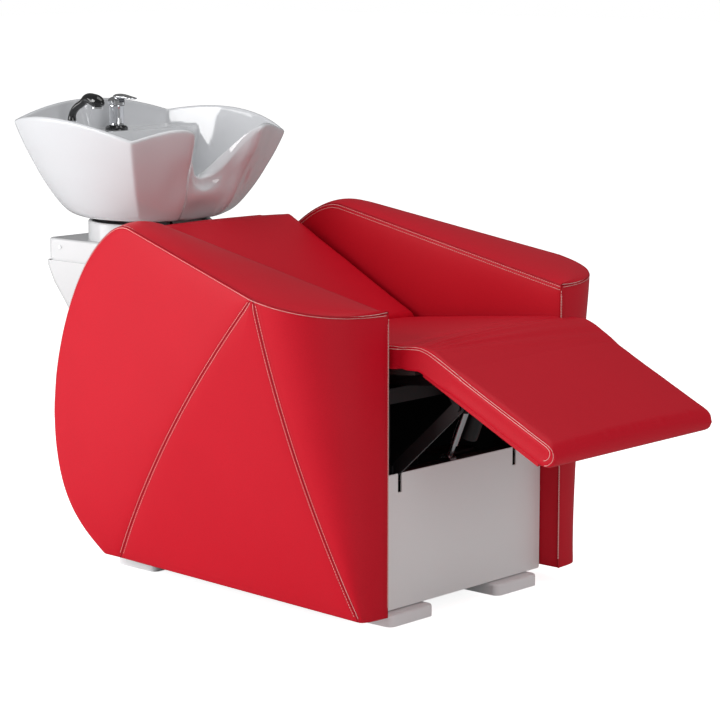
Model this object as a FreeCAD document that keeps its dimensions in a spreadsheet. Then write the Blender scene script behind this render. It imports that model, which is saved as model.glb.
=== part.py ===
import FreeCAD, Part
import math
import os
import Sketcher
from FreeCAD import Placement, Rotation, Vector

# Hair washing bed: a reclined salon seat between two faceted upholstered side panels,
# with a folding legrest in front and a tilting ceramic basin on a pedestal behind.
# The X axis runs across the seat, +Y points from the legrest to the basin, +Z points up.
# The origin is on the floor, in the middle of the overall length and width.

doc = FreeCAD.newDocument("hair_washing_bed")
sheet = doc.addObject("Spreadsheet::Sheet", "sizes")

# Driving dimensions in millimetres and degrees. Names that end in share are plain ratios.
# A name that ends in _y is a distance behind the front of the side panels, and one that
# ends in _z is a height above the floor.
SIZES = {
    # whole bed
    "overall_length": 1492.3,
    "legrest_reach": 381.3,
    "seat_clear_width": 520.0,
    "overrun": 20.0,
    "soft_gap": 0.4,
    # side panels, seen from the side
    "panel_bottom_z": 31.0,
    "panel_front_top_z": 612.0,
    "panel_crest_y": 600.0,
    "panel_crest_z": 734.0,
    "panel_shoulder_y": 700.0,
    "panel_shoulder_z": 706.0,
    "panel_back_upper_y": 825.0,
    "panel_back_upper_z": 585.0,
    "panel_back_y": 922.0,
    "panel_back_z": 300.0,
    "panel_back_lower_y": 880.0,
    "panel_back_lower_z": 131.0,
    "panel_heel_y": 832.0,
    "panel_heel_z": 76.0,
    "panel_heel_flat_y": 776.0,
    "panel_toe_radius": 18.0,
    # side panels, thickness at the corners of the three outer facets
    "apex_y": 157.0,
    "apex_z": 644.0,
    "apex_thickness": 203.0,
    "apex_width": 2.0,
    "toe_seam_y": 15.0,
    "toe_thickness": 70.0,
    "heel_seam_y": 726.0,
    "heel_thickness": 18.0,
    "tail_y": 960.0,
    "tail_thickness": 13.0,
    "ridge_bow": 28.0,
    "seam_bow": 38.0,
    "lining_thickness": 4.0,
    "panel_board_thickness": 15.0,
    "panel_board_inset": 30.0,
    # seat
    "seat_front_y": -57.0,
    "seat_rear_y": 372.0,
    "seat_level_z": 549.0,
    "seat_slope": 6.0,
    "seat_thickness": 44.5,
    "seat_crown": 9.0,
    "seat_nose": 9.0,
    "cushion_side_gap": 11.0,
    "cushion_pull": 3.0,
    "seat_pan_thickness": 12.0,
    "pan_inset": 14.0,
    # backrest
    "back_foot_y": 373.0,
    "back_foot_z": 517.0,
    "back_top_y": 734.0,
    "back_top_z": 706.0,
    "back_thickness": 67.0,
    "back_crown": 8.0,
    "back_nose": 15.0,
    "back_nose_drop": 15.0,
    "back_board_thickness": 14.0,
    # legrest
    "hinge_y": -62.0,
    "hinge_z": 488.0,
    "legrest_start_z": 508.0,
    "legrest_angle": 26.0,
    "legrest_length": 341.0,
    "legrest_thickness": 43.0,
    "legrest_crown": 7.0,
    "legrest_root_thickness": 35.0,
    "board_slot_length": 25.0,
    "board_slot_gap": 1.5,
    "plate_root_margin": 9.0,
    "legrest_root_gap": 5.0,
    "legrest_shoulder": 60.0,
    "legrest_board_thickness": 10.0,
    "legrest_board_inset": 14.0,
    "legrest_board_end": 40.0,
    # steel base
    "bar_size": 30.0,
    "bar_wall": 2.5,
    "rail_face_gap": 0.0,
    "rail_side_gap": 44.0,
    "rail_front_y": 62.0,
    "rail_rear_y": 850.0,
    "seat_bend_y": 360.0,
    "rear_post_y": 700.0,
    "knee_drop_share": 1.82,
    "knee_back_share": 0.6,
    "seat_rail_front_y": -52.0,
    "column_depth": 50.0,
    "column_width": 60.0,
    "column_y": 794.0,
    "standoff_radius": 12.0,
    "standoff_low_z": 170.0,
    "standoff_high_z": 370.0,
    # feet
    "foot_side_gap": 34.0,
    "foot_width": 129.0,
    "foot_length": 115.0,
    "foot_height": 24.0,
    "foot_round": 14.0,
    "foot_top_round": 5.0,
    "front_foot_y": 24.0,
    "rear_foot_y": 676.0,
    "foot_screw_radius": 5.0,
    "foot_screw_head_radius": 9.0,
    "foot_screw_head_height": 6.0,
    "foot_screw_recess": 4.0,
    "foot_screw_clearance": 0.4,
    # front and rear panels
    "front_panel_y": 47.0,
    "sheet_thickness": 3.0,
    "panel_stud_radius": 8.0,
    "panel_stud_low_z": 110.0,
    "panel_stud_high_z": 235.0,
    "front_panel_bottom_z": 26.0,
    "front_panel_top_z": 290.0,
    "front_panel_side_gap": 2.0,
    "front_panel_round": 4.0,
    "notch_width": 11.0,
    "notch_depth": 37.0,
    "rear_panel_y": 782.0,
    "rear_panel_bottom_z": 54.0,
    "rear_panel_top_z": 612.0,
    # linkage under the legrest
    "lug_y": -98.0,
    "lug_z": 436.0,
    "seat_rail_arm_gap": 49.0,
    "arm_thickness": 5.0,
    "arm_width": 25.0,
    "arm_length": 235.0,
    "arm_angle": 42.1,
    "plate_thickness": 5.0,
    "plate_gap": 1.0,
    "plate_margin": 13.0,
    "hinge_pin_radius": 6.0,
    "lug_pin_radius": 5.0,
    "pin_head_radius": 7.5,
    "pin_head_height": 4.0,
    "pin_clearance": 0.05,
    "legrest_plate_length": 96.0,
    "seat_plate_length": 70.0,
    "cross_tube_radius": 11.0,
    "cross_tube_wall": 2.5,
    "guide_pin_radius": 5.0,
    "arm_guide_gap": 7.0,
    "guide_front_y": 57.0,
    "guide_rear_margin": 28.64,
    "guide_top_z": 304.0,
    "slot_lean_y": 6.6,
    "slot_travel_z": 51.1,
    "slot_clearance": 1.8,
    # actuator
    "actuator_y": 4.0,
    "actuator_z": 450.0,
    "actuator_pin_radius": 5.0,
    "actuator_eye_radius": 10.0,
    "actuator_eye_width": 14.0,
    "actuator_tube_radius": 8.0,
    "actuator_tube_length": 142.0,
    "actuator_lean": 22.87,
    "actuator_reach": 186.2,
    "rod_radius": 5.5,
    "rod_top_gap": 70.0,
    "rod_running_gap": 0.05,
    "rod_eye_radius": 19.5,
    "rod_eye_width": 18.0,
    "rod_eye_play": 13.0,
    "rod_eye_clearance": 3.4,
    "gearbox_length": 40.0,
    "gearbox_width": 34.0,
    "gearbox_depth": 26.0,
    "gearbox_start": 22.0,
    "motor_radius": 18.0,
    "motor_length": 70.0,
    "motor_offset": 40.0,
    "clevis_thickness": 5.0,
    "clevis_gap": 1.0,
    "clevis_half_depth": 12.0,
    "clevis_drop": 12.0,
    "nose_bar_y": -11.0,
    "control_side_gap": 33.0,
    "control_tube_gap": 41.64,
    "control_box_length": 112.0,
    "control_box_depth": 70.0,
    "control_box_height": 232.0,
    "control_box_round": 6.0,
    # pedestal
    "pedestal_half_width": 150.0,
    "pedestal_wall": 4.0,
    "pedestal_front_y": 785.0,
    "pedestal_rear_y": 1088.0,
    "pedestal_top_z": 612.0,
    "pedestal_lip": 14.0,
    "pedestal_haunch_y": 1069.0,
    "pedestal_haunch_z": 563.0,
    "pedestal_slope_y": 1029.0,
    "pedestal_slope_z": 515.0,
    "pedestal_knee_y": 890.0,
    "pedestal_knee_z": 345.0,
    "pedestal_shaft_y": 876.0,
    "pedestal_shaft_z": 300.0,
    "pedestal_bottom_z": 54.0,
    "pedestal_round": 16.0,
    "head_front_y": 774.0,
    "head_rear_y": 1084.0,
    "head_bottom_z": 616.0,
    "head_top_z": 660.0,
    "head_round": 18.0,
    "head_edge_round": 5.0,
    "head_seam_inset": 2.0,
    "head_inset": 2.0,
    "collar_centre_y": 915.0,
    "collar_radius": 133.0,
    "collar_wall": 9.0,
    "collar_height": 40.0,
    "collar_edge_round": 2.5,
    "cover_screw_radius": 3.5,
    "cover_screw_height": 2.0,
    "cover_screw_y": 1040.0,
    "cover_screw_z": 642.0,
    # basin carrier
    "fork_plate_thickness": 8.0,
    "fork_plate_half_width": 70.0,
    "fork_plate_front_y": 796.0,
    "fork_plate_rear_y": 978.0,
    "fork_plate_top_z": 644.0,
    "fork_hole_radius": 34.0,
    "fork_ear_inner": 46.0,
    "fork_ear_thickness": 6.0,
    "fork_ear_half_depth": 15.0,
    "fork_ear_top_z": 693.0,
    "tilt_axis_z": 680.0,
    "tilt_pin_radius": 6.0,
    "tilt_pin_inner": 37.0,
    "tilt_pin_end": 3.0,
    "basin_plate_thickness": 6.0,
    "basin_plate_half_width": 72.0,
    "basin_plate_half_depth": 58.0,
    "basin_lug_gap": 0.6,
    "basin_lug_thickness": 6.0,
    "basin_lug_half_depth": 13.0,
    "basin_lug_below": 12.0,
    # basin
    "basin_half_width": 225.0,
    "basin_front_y": 727.0,
    "basin_rear_y": 1094.0,
    "basin_base_z": 705.0,
    "basin_front_rim_z": 885.0,
    "basin_rear_rim_z": 908.0,
    "basin_side_arch": 11.0,
    "basin_front_arch": 20.0,
    "basin_rear_arch": 40.0,
    "basin_front_bow": 45.0,
    "basin_side_bow": 8.0,
    "basin_rear_bow": 17.0,
    "basin_foot_radius": 118.0,
    "basin_wall": 13.0,
    "basin_floor_z": 737.0,
    "basin_drain_radius": 22.0,
    "deck_z": 884.0,
    "deck_front_y": 1004.0,
    "deck_wall": 15.0,
    "neck_half_width": 64.0,
    "neck_bottom_z": 797.0,
    "neck_flare": 22.0,
    "neck_flare_z": 884.0,
    "neck_back_y": 815.0,
    # waste
    "strainer_radius": 32.0,
    "strainer_thickness": 3.0,
    "strainer_clearance": 0.3,
    "strainer_hole_radius": 2.5,
    "strainer_hole_ring": 10.0,
    "tail_radius": 20.0,
    "tail_wall": 2.5,
    "tail_drop": 62.0,
    "tail_nut_radius": 30.0,
    "tail_nut_height": 12.0,
    # tap
    "tap_y": 1050.0,
    "mixer_x": 30.0,
    "mixer_ring_radius": 25.0,
    "mixer_ring_height": 9.0,
    "mixer_radius": 17.7,
    "mixer_height": 54.0,
    "mixer_waist_radius": 16.0,
    "mixer_shank_radius": 14.0,
    "mixer_shank_length": 30.0,
    "cap_radius": 18.5,
    "cap_height": 17.0,
    "cap_gap": 1.0,
    "cap_slot_half_width": 7.0,
    "cap_floor": 5.0,
    "lever_half_width": 6.6,
    "lever_length": 60.0,
    "lever_thickness": 6.0,
    "lever_tip_half_width": 10.5,
    "lever_pin_rise": 11.0,
    "lever_pin_radius": 2.0,
    "lever_pin_reach": 13.0,
    "lever_rise": 9.0,
    "lever_hub_radius": 5.0,
    # handset
    "handset_x": -99.0,
    "socket_radius": 17.0,
    "socket_height": 14.0,
    "socket_wall": 3.0,
    "socket_shank": 30.0,
    "handset_stem_radius": 12.0,
    "handset_collar_radius": 12.8,
    "handset_collar_height": 12.0,
    "handset_fit": 0.4,
    "handset_stem_depth": 26.0,
    "handset_rise": 46.0,
    "handset_reach": 74.0,
    "handset_neck_radius": 10.5,
    "handset_head_radius": 15.5,
    "handset_head_reach": 22.0,
    "handset_head_drop": 6.0,
    "spray_radius": 12.0,
    "spray_thickness": 4.0,
    "spray_below": 13.0,
    # services at the foot of the pedestal
    "inlet_radius": 10.5,
    "inlet_length": 22.0,
    "inlet_flange_radius": 16.0,
    "inlet_flange_length": 4.0,
    "inlet_bore": 7.0,
    "inlet_spacing": 70.0,
    "inlet_z": 150.0,
    "waste_radius": 20.0,
    "waste_bore": 17.5,
    "waste_length": 40.0,
    "waste_z": 85.0,
    "socket_box_width": 50.0,
    "socket_box_height": 28.0,
    "socket_box_depth": 10.0,
    "socket_recess": 7.0,
    "socket_margin": 5.0,
    "socket_box_z": 220.0,
    # switch on the back of the pedestal head
    "bezel_width": 50.0,
    "bezel_height": 26.0,
    "bezel_depth": 5.0,
    "bezel_margin": 4.0,
    "bezel_z": 638.0,
    "rocker_gap": 0.6,
    "rocker_depth": 7.0,
    "rocker_crown": 3.0,
}

for row, (alias, value) in enumerate(SIZES.items(), start=1):
    sheet.set("A%d" % row, alias)
    sheet.set("B%d" % row, str(value))
    sheet.setAlias("B%d" % row, alias)
doc.recompute()


class Size:
    """A length known both as a number and as the formula that the spreadsheet gives for it."""

    def __init__(self, value, text):
        self.value = value
        self.text = text

    def __float__(self):
        return self.value

    def __neg__(self):
        return Size(-self.value, "(-%s)" % self.text)

    def __add__(self, other):
        return Size(self.value + float(other), "(%s + %s)" % (self.text, formula(other)))

    def __radd__(self, other):
        return Size(float(other) + self.value, "(%s + %s)" % (formula(other), self.text))

    def __sub__(self, other):
        return Size(self.value - float(other), "(%s - %s)" % (self.text, formula(other)))

    def __rsub__(self, other):
        return Size(float(other) - self.value, "(%s - %s)" % (formula(other), self.text))

    def __mul__(self, other):
        return Size(self.value * float(other), "(%s * %s)" % (self.text, formula(other)))

    __rmul__ = __mul__

    def __truediv__(self, other):
        return Size(self.value / float(other), "(%s / %s)" % (self.text, formula(other)))


def formula(length):
    """The text of a length for a spreadsheet expression."""
    return length.text if isinstance(length, Size) else repr(float(length))


class Sizes:
    """Every cell of the sheet as an attribute."""

    def __getattr__(self, alias):
        return Size(float(sheet.get(alias)), "sizes.%s" % alias)


S = Sizes()


def slope(degrees):
    """Rise over run of an angle given in degrees."""
    return Size(math.tan(math.radians(float(degrees))), "tan(%s * 1deg)" % formula(degrees))


def bind(thing, prop, length):
    thing.setExpression(prop, formula(length))


def place(thing, corner):
    for axis, length in zip("xyz", corner):
        bind(thing, "Placement.Base.%s" % axis, length)


def turn(thing, axis, degrees):
    """Turns an object about its own base point, by an angle that may be a cell."""
    thing.Placement = Placement(Vector(0, 0, 0), Rotation(axis, float(degrees)))
    if isinstance(degrees, Size):
        bind(thing, "Placement.Rotation.Angle", degrees)


AXES = {
    "x": (Vector(0, 1, 0), 90),
    "y": (Vector(1, 0, 0), -90),
    "z": (Vector(0, 0, 1), 0),
}
ACROSS = Vector(1, 0, 0)
FLOOR = Size(0.0, "0.0")
MIDDLE = Size(0.0, "0.0")


def box(name, corner, lengths, tilt=None):
    piece = doc.addObject("Part::Box", name)
    for prop, length in zip(("Length", "Width", "Height"), lengths):
        bind(piece, prop, length)
    if tilt is not None:
        turn(piece, ACROSS, tilt)
    place(piece, corner)
    return piece


def rod(name, centre, radius, length, axis="z", tilt=None):
    """A cylinder whose lower end is at centre and which runs along +axis, or leans about X."""
    piece = doc.addObject("Part::Cylinder", name)
    bind(piece, "Radius", radius)
    bind(piece, "Height", length)
    if tilt is not None:
        turn(piece, ACROSS, tilt)
    else:
        turn(piece, *AXES[axis])
    place(piece, centre)
    return piece


def fuse(name, *parts):
    piece = doc.addObject("Part::MultiFuse", name)
    piece.Shapes = list(parts)
    piece.Refine = True
    return piece


def cut(name, base, *tools):
    piece = doc.addObject("Part::Cut", name)
    piece.Base = base
    piece.Tool = tools[0] if len(tools) == 1 else fuse(name + "_tools", *tools)
    return piece


def rounded(name, base, radius, chosen):
    """Part::Fillet on the edges of base that the test chosen accepts."""
    doc.recompute()
    piece = doc.addObject("Part::Fillet", name)
    piece.Base = base
    picked = [n for n, edge in enumerate(base.Shape.Edges, start=1) if chosen(edge)]
    piece.Edges = [(n, float(radius), float(radius)) for n in picked]
    return piece


def runs_along(edge, axis):
    """True for a straight edge parallel to an axis."""
    start, end = edge.Vertexes[0].Point, edge.Vertexes[-1].Point
    span = end - start
    return span.Length > 0 and abs(abs(span.dot(axis)) - span.Length) < span.Length * 1e-6


PIECES = {}


def keep(node, piece):
    """Names a finished sub-part; its label is its file name."""
    piece.Label = node
    PIECES[node] = piece
    return piece


def shape_piece(node, shape, placement=None):
    """A sub-part whose surface is lofted from sections worked out from the sheet."""
    piece = doc.addObject("Part::Feature", node)
    piece.Shape = shape
    piece.Placement = placement or Placement()
    return keep(node, piece)


class Plate:
    """A PartDesign body drawn on one of its origin planes."""

    ROLES = {"x": "YZ_Plane", "y": "XZ_Plane", "z": "XY_Plane"}

    def __init__(self, name, axis, offset=MIDDLE):
        self.name = name
        self.axis = axis
        self.body = doc.addObject("PartDesign::Body", name)
        self.offset = offset
        self.count = 0

    def sketch(self):
        self.count += 1
        sketch = self.body.newObject("Sketcher::SketchObject", "%s_sketch_%d" % (self.name, self.count))
        role = self.ROLES[self.axis]
        plane = [f for f in self.body.Origin.OriginFeatures if f.Role == role][0]
        sketch.AttachmentSupport = [(plane, "")]
        sketch.MapMode = "FlatFace"
        return sketch

    def outline(self, points, sketch=None):
        """A closed polygon whose corners are held by distances from the sketch's origin."""
        sketch = sketch or self.sketch()
        first = sketch.GeometryCount
        count = len(points)
        for n in range(count):
            start, end = points[n], points[(n + 1) % count]
            sketch.addGeometry(Part.LineSegment(Vector(float(start[0]), float(start[1]), 0),
                                                Vector(float(end[0]), float(end[1]), 0)), False)
        for n in range(count):
            following = first + (n + 1) % count
            sketch.addConstraint(Sketcher.Constraint("Coincident", first + n, 2, following, 1))
        for n, corner in enumerate(points):
            self.hold(sketch, first + n, 1, corner)
        return sketch

    def circle(self, centre, radius, sketch=None):
        sketch = sketch or self.sketch()
        index = sketch.addGeometry(Part.Circle(Vector(float(centre[0]), float(centre[1]), 0),
                                               Vector(0, 0, 1), float(radius)), False)
        held = sketch.addConstraint(Sketcher.Constraint("Radius", index, float(radius)))
        sketch.setExpression("Constraints[%d]" % held, formula(radius))
        self.hold(sketch, index, 3, centre)
        return sketch

    def hold(self, sketch, index, point, corner):
        for kind, length in zip(("DistanceX", "DistanceY"), corner):
            held = sketch.addConstraint(Sketcher.Constraint(kind, -1, 1, index, point, float(length)))
            sketch.setExpression("Constraints[%d]" % held, formula(length))

    def pad(self, sketch, length, backwards=False):
        feature = self.body.newObject("PartDesign::Pad", self.name + "_pad_%d" % self.count)
        feature.Profile = sketch
        bind(feature, "Length", length)
        feature.Reversed = backwards
        return feature

    def pocket(self, sketch, length, backwards=False):
        doc.recompute()
        before = self.body.Shape.Volume
        feature = self.body.newObject("PartDesign::Pocket", self.name + "_pocket_%d" % self.count)
        feature.Profile = sketch
        bind(feature, "Length", length)
        feature.Reversed = backwards
        doc.recompute()
        if self.body.Shape.Volume >= before:
            raise RuntimeError("the pocket of %s removes nothing" % self.name)
        return feature

    def revolve(self, sketch):
        feature = self.body.newObject("PartDesign::Revolution", self.name + "_turned")
        feature.Profile = sketch
        feature.ReferenceAxis = (sketch, ["V_Axis"])
        feature.Angle = 360.0
        return feature

    def fillet(self, radius, chosen):
        doc.recompute()
        base = self.body.Tip
        names = ["Edge%d" % n for n, edge in enumerate(base.Shape.Edges, start=1) if chosen(edge)]
        feature = self.body.newObject("PartDesign::Fillet", "%s_round_%d" % (self.name, self.count))
        feature.Base = (base, names)
        bind(feature, "Radius", radius)
        self.count += 1
        return feature

    def done(self, node, centre=None):
        if centre is not None:
            place(self.body, centre)
        return keep(node, self.body)


def turned(node, profile, centre):
    """A round piece: a half profile of (radius, height) points spun about a vertical axis."""
    plate = Plate(node, "y")
    plate.revolve(plate.outline(profile))
    return plate.done(node, centre)


def line(start, end):
    return Part.LineSegment(start, end).toShape()


def arc(start, middle, end):
    return Part.Arc(start, middle, end).toShape()


SIDES = (("left", -1), ("right", 1))


def side_low(sign, inner, outer):
    """Lower X of a piece that spans from inner to outer on one side of the middle."""
    return inner if sign > 0 else -outer


FRONT = -S.overall_length / 2 + S.legrest_reach
HALF_CLEAR = S.seat_clear_width / 2
CUSHION_HALF = HALF_CLEAR - S.cushion_side_gap
RAIL_OUTER = HALF_CLEAR - S.rail_side_gap
RAIL_INNER = RAIL_OUTER - S.bar_size
GUIDE_INNER = RAIL_INNER - S.plate_thickness
ARM_PLANE = GUIDE_INNER - S.arm_guide_gap
SEAT_RAIL_INNER = ARM_PLANE - S.seat_rail_arm_gap


# Side panels: a plywood board wrapped in the faceted upholstery.

def panel_profile(x, inset):
    """The panel's outline seen from the side, drawn in by inset, as a face at one X."""
    front = float(FRONT)
    bottom = float(S.panel_bottom_z) + inset
    toe = float(S.panel_toe_radius)
    low = Vector(x, front + inset, bottom + toe)
    corner = Vector(x, front + inset + toe * (1 - math.sqrt(0.5)), bottom + toe * (1 - math.sqrt(0.5)))
    toe_end = Vector(x, front + inset + toe, bottom)
    top_front = Vector(x, front + inset, float(S.panel_front_top_z) - inset)
    crest = Vector(x, front + float(S.panel_crest_y), float(S.panel_crest_z) - inset)
    heel = Vector(x, front + float(S.panel_heel_flat_y) - inset, bottom)
    back = [crest]
    places = (("panel_shoulder", 0.7, 0.7), ("panel_back_upper", 0.9, 0.4), ("panel_back", 1.0, 0.0),
              ("panel_back_lower", 0.95, -0.3), ("panel_heel", 0.8, -0.6))
    for name, inward_share, down_share in places:
        y = front + float(getattr(S, name + "_y")) - inset * inward_share
        z = float(getattr(S, name + "_z")) - inset * down_share
        back.append(Vector(x, y, z))
    back.append(heel)
    curve = Part.BSplineCurve()
    rise = crest - top_front
    rise.normalize()
    fall = heel - back[-2]
    fall.normalize()
    curve.interpolate(Points=back, InitialTangent=rise, FinalTangent=fall)
    wire = Part.Wire([line(top_front, crest), curve.toShape(), line(heel, toe_end),
                      arc(toe_end, corner, low), line(low, top_front)])
    return Part.Face(wire)


def facet_section(sign, height, ridge, seam):
    """One level of the faceted outside: a quarter ellipse to the ridge, then two straight facets."""
    inner = sign * float(HALF_CLEAR)
    front = float(FRONT)
    kappa_share = 0.5523
    ridge_y, ridge_out = ridge
    seam_y, seam_out = seam
    start = Vector(inner, front, height)
    ridge_point = Vector(inner + sign * ridge_out, front + ridge_y, height)
    ellipse = Part.BezierCurve()
    ellipse.setPoles([start,
                      start + Vector(sign * ridge_out * kappa_share, 0, 0),
                      ridge_point - Vector(0, ridge_y * kappa_share, 0),
                      ridge_point])
    seam_point = Vector(inner + sign * seam_out, front + seam_y, height)
    tail = Vector(inner + sign * float(S.tail_thickness), front + float(S.tail_y), height)
    end = Vector(inner, front + float(S.tail_y), height)
    return Part.Wire([ellipse.toShape(), line(ridge_point, seam_point), line(seam_point, tail),
                      line(tail, end), line(end, start)])


def facet_levels():
    """Heights with the two seams: between toe and apex they bow to the rear, above they stay."""
    bottom, top = float(S.panel_bottom_z), float(S.apex_z)
    level_shares = (0.0, 0.2, 0.4, 0.6, 0.8, 1.0)
    levels = []
    for share in level_shares:
        bow = 4 * share * (1 - share)
        ridge_y = (1 - share) * float(S.toe_seam_y) + share * float(S.apex_y) + bow * float(S.ridge_bow)
        seam_y = ((1 - share) * float(S.heel_seam_y) + share * float(S.apex_y + S.apex_width)
                  + bow * float(S.seam_bow))
        height = bottom + share * (top - bottom)
        levels.append((height, (ridge_y, triangle_out(ridge_y, height)),
                       (seam_y, triangle_out(seam_y, height))))
    lifted = float(S.panel_crest_z + S.overrun)
    sunk = bottom - float(S.overrun)
    return [(sunk,) + levels[0][1:]] + levels + [(lifted,) + levels[-1][1:]]


def triangle_out(y, height):
    """Thickness of the panel on the flat triangle between its toe, heel and apex corners."""
    toe = (float(S.toe_seam_y), float(S.panel_bottom_z), float(S.toe_thickness))
    heel = (float(S.heel_seam_y), float(S.panel_bottom_z), float(S.heel_thickness))
    apex = (float(S.apex_y), float(S.apex_z), float(S.apex_thickness))
    along = (heel[2] - toe[2]) / (heel[0] - toe[0])
    up = (apex[2] - toe[2] - along * (apex[0] - toe[0])) / (apex[1] - toe[1])
    return toe[2] + along * (y - toe[0]) + up * (height - toe[1])


def side_panel(side, sign):
    inner = sign * float(HALF_CLEAR)
    lining = float(S.lining_thickness)
    board = float(S.panel_board_thickness)
    reach = float(S.apex_thickness + S.overrun)
    facets = Part.makeLoft([facet_section(sign, *level) for level in facet_levels()], True, True)
    whole = panel_profile(inner, 0.0).extrude(Vector(sign * reach, 0, 0)).common(facets)
    core = panel_profile(inner + sign * lining, float(S.panel_board_inset)).extrude(Vector(sign * board, 0,
                                                                                           0))
    shape_piece("side_panel_%s_board" % side, core)
    shape_piece("side_panel_%s_upholstery" % side, whole.cut(core))


for side, sign in SIDES:
    side_panel(side, sign)


# Cushions: crowned sections stepped along Y, flat below, sides drawn in towards their seams.

def cushion_section(y, low, high, crown, half, pull):
    """A section across the cushion: flat bottom, sides bowed in by pull, and an arched top."""
    bottom_left, bottom_right = Vector(-half, y, low), Vector(half, y, low)
    top_left, top_right = Vector(-half, y, high), Vector(half, y, high)
    middle = (low + high) / 2
    return Part.Wire([line(bottom_left, bottom_right),
                      arc(bottom_right, Vector(half - pull, y, middle), top_right),
                      arc(top_right, Vector(0, y, high + crown), top_left),
                      arc(top_left, Vector(-half + pull, y, middle), bottom_left)])


def cushion(node, stations, placement=None):
    """A solid through (y, low, high, crown) stations, put in place by an optional placement."""
    half, pull = float(CUSHION_HALF), float(S.cushion_pull)
    sections = [cushion_section(y, low, high, crown, half, pull) for y, low, high, crown in stations]
    shape = Part.makeLoft(sections, True, True)
    return shape_piece(node, shape, placement)


SEAT_TAN = float(slope(S.seat_slope))


def seat_top(y):
    """Height of the seat's side edge at a distance behind the panel fronts."""
    return float(S.seat_level_z) - SEAT_TAN * y


def seat_stations():
    front, rear = float(S.seat_front_y), float(S.seat_rear_y)
    nose = float(S.seat_nose)
    crown = float(S.seat_crown)
    thickness = float(S.seat_thickness)
    stations = []
    roll_shares = ((0.0, 2.6, 0.2), (0.6, 1.3, 0.5), (2.2, 0.4, 0.8), (5.5, 0.0, 1.0))
    for back_share, drop_share, crown_share in roll_shares:
        y = front + nose * back_share
        high = seat_top(max(y, 0)) - nose * drop_share - max(-y, 0) * SEAT_TAN * 0.5
        stations.append((float(FRONT) + y, seat_top(y) - thickness, high, crown * crown_share))
    for y in (rear / 2, rear):
        stations.append((float(FRONT) + y, seat_top(y) - thickness, seat_top(y), crown))
    return stations


cushion("seat_cushion", seat_stations())


def back_stations():
    foot_y, foot_z = float(S.back_foot_y), float(S.back_foot_z)
    top_y, top_z = float(S.back_top_y), float(S.back_top_z)
    rise = (top_z - foot_z) / (top_y - foot_y)
    thick, crown = float(S.back_thickness), float(S.back_crown)
    nose, drop = float(S.back_nose), float(S.back_nose_drop)
    stations = []
    length_shares = ((0.0, 0.8), (0.06, 1.0), (0.5, 1.1), (0.94, 1.0), (1.0, 0.9))
    for share, crown_share in length_shares:
        y = foot_y + share * (top_y - foot_y)
        high = foot_z + rise * (y - foot_y)
        stations.append((float(FRONT) + y, high - thick, high, crown * crown_share))
    for nose_share, drop_share in ((0.6, 0.25), (1.0, 1.0)):
        y = top_y + nose * nose_share
        high = top_z - drop * drop_share
        stations.append((float(FRONT) + y, top_z + rise * (y - top_y) - thick + drop * drop_share, high,
                         crown * (1 - drop_share / 2)))
    return stations


cushion("back_cushion", back_stations())


def legrest_stations():
    """Along the pad's own length, with Y running back from the tip and Z square to the pad."""
    thick, root = float(S.legrest_thickness), float(S.legrest_root_thickness)
    crown, length = float(S.legrest_crown), float(S.legrest_length)
    radius = thick / 2
    start = float(S.legrest_root_gap)
    shoulder = float(S.legrest_shoulder)
    stations = [(-start, 0.0, root - radius / 2, crown / 2), (-start - radius / 2, 0.0, root, crown),
                (-shoulder, 0.0, thick, crown), (-length / 2, 0.0, thick, crown)]
    round_shares = (0.0, 0.38, 0.7, 0.92, 1.0)
    for share in round_shares:
        half = radius * math.sqrt(max(1 - share * share, 0.06))
        stations.append((-length + radius * (1 - share), radius - half, radius + half,
                         crown * math.sqrt(max(1 - share * share, 0.04))))
    return stations


LEG_ROOT = Vector(0, float(FRONT + S.hinge_y), float(S.legrest_start_z))
LEG_PLACE = Placement(LEG_ROOT, Rotation(ACROSS, float(S.legrest_angle)))
cushion("legrest_cushion", legrest_stations(), LEG_PLACE)


# Boards under the three cushions.

def board_under(node, y_start, y_end, top_start, rise, thickness, inset):
    """A flat board that leans with its cushion, from one Y to another."""
    half = CUSHION_HALF - inset
    plate = Plate(node, "x")
    sketch = plate.outline([(y_start, top_start), (y_end, top_start + (y_end - y_start) * rise),
                            (y_end, top_start + (y_end - y_start) * rise - thickness),
                            (y_start, top_start - thickness)])
    plate.pad(sketch, half * 2)
    return plate.done(node, (-half, MIDDLE, FLOOR))


SEAT_RISE = -slope(S.seat_slope)
pan_start = S.seat_front_y + S.pan_inset
board_under("seat_pan", FRONT + pan_start, FRONT + S.seat_rear_y,
            S.seat_level_z + pan_start * SEAT_RISE - S.seat_thickness, SEAT_RISE, S.seat_pan_thickness, S.pan_inset)

BACK_RISE = (S.back_top_z - S.back_foot_z) / (S.back_top_y - S.back_foot_y)
board_under("back_board", FRONT + S.back_foot_y, FRONT + S.back_top_y,
            S.back_foot_z - S.back_thickness, BACK_RISE, S.back_board_thickness, S.pan_inset)


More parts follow.
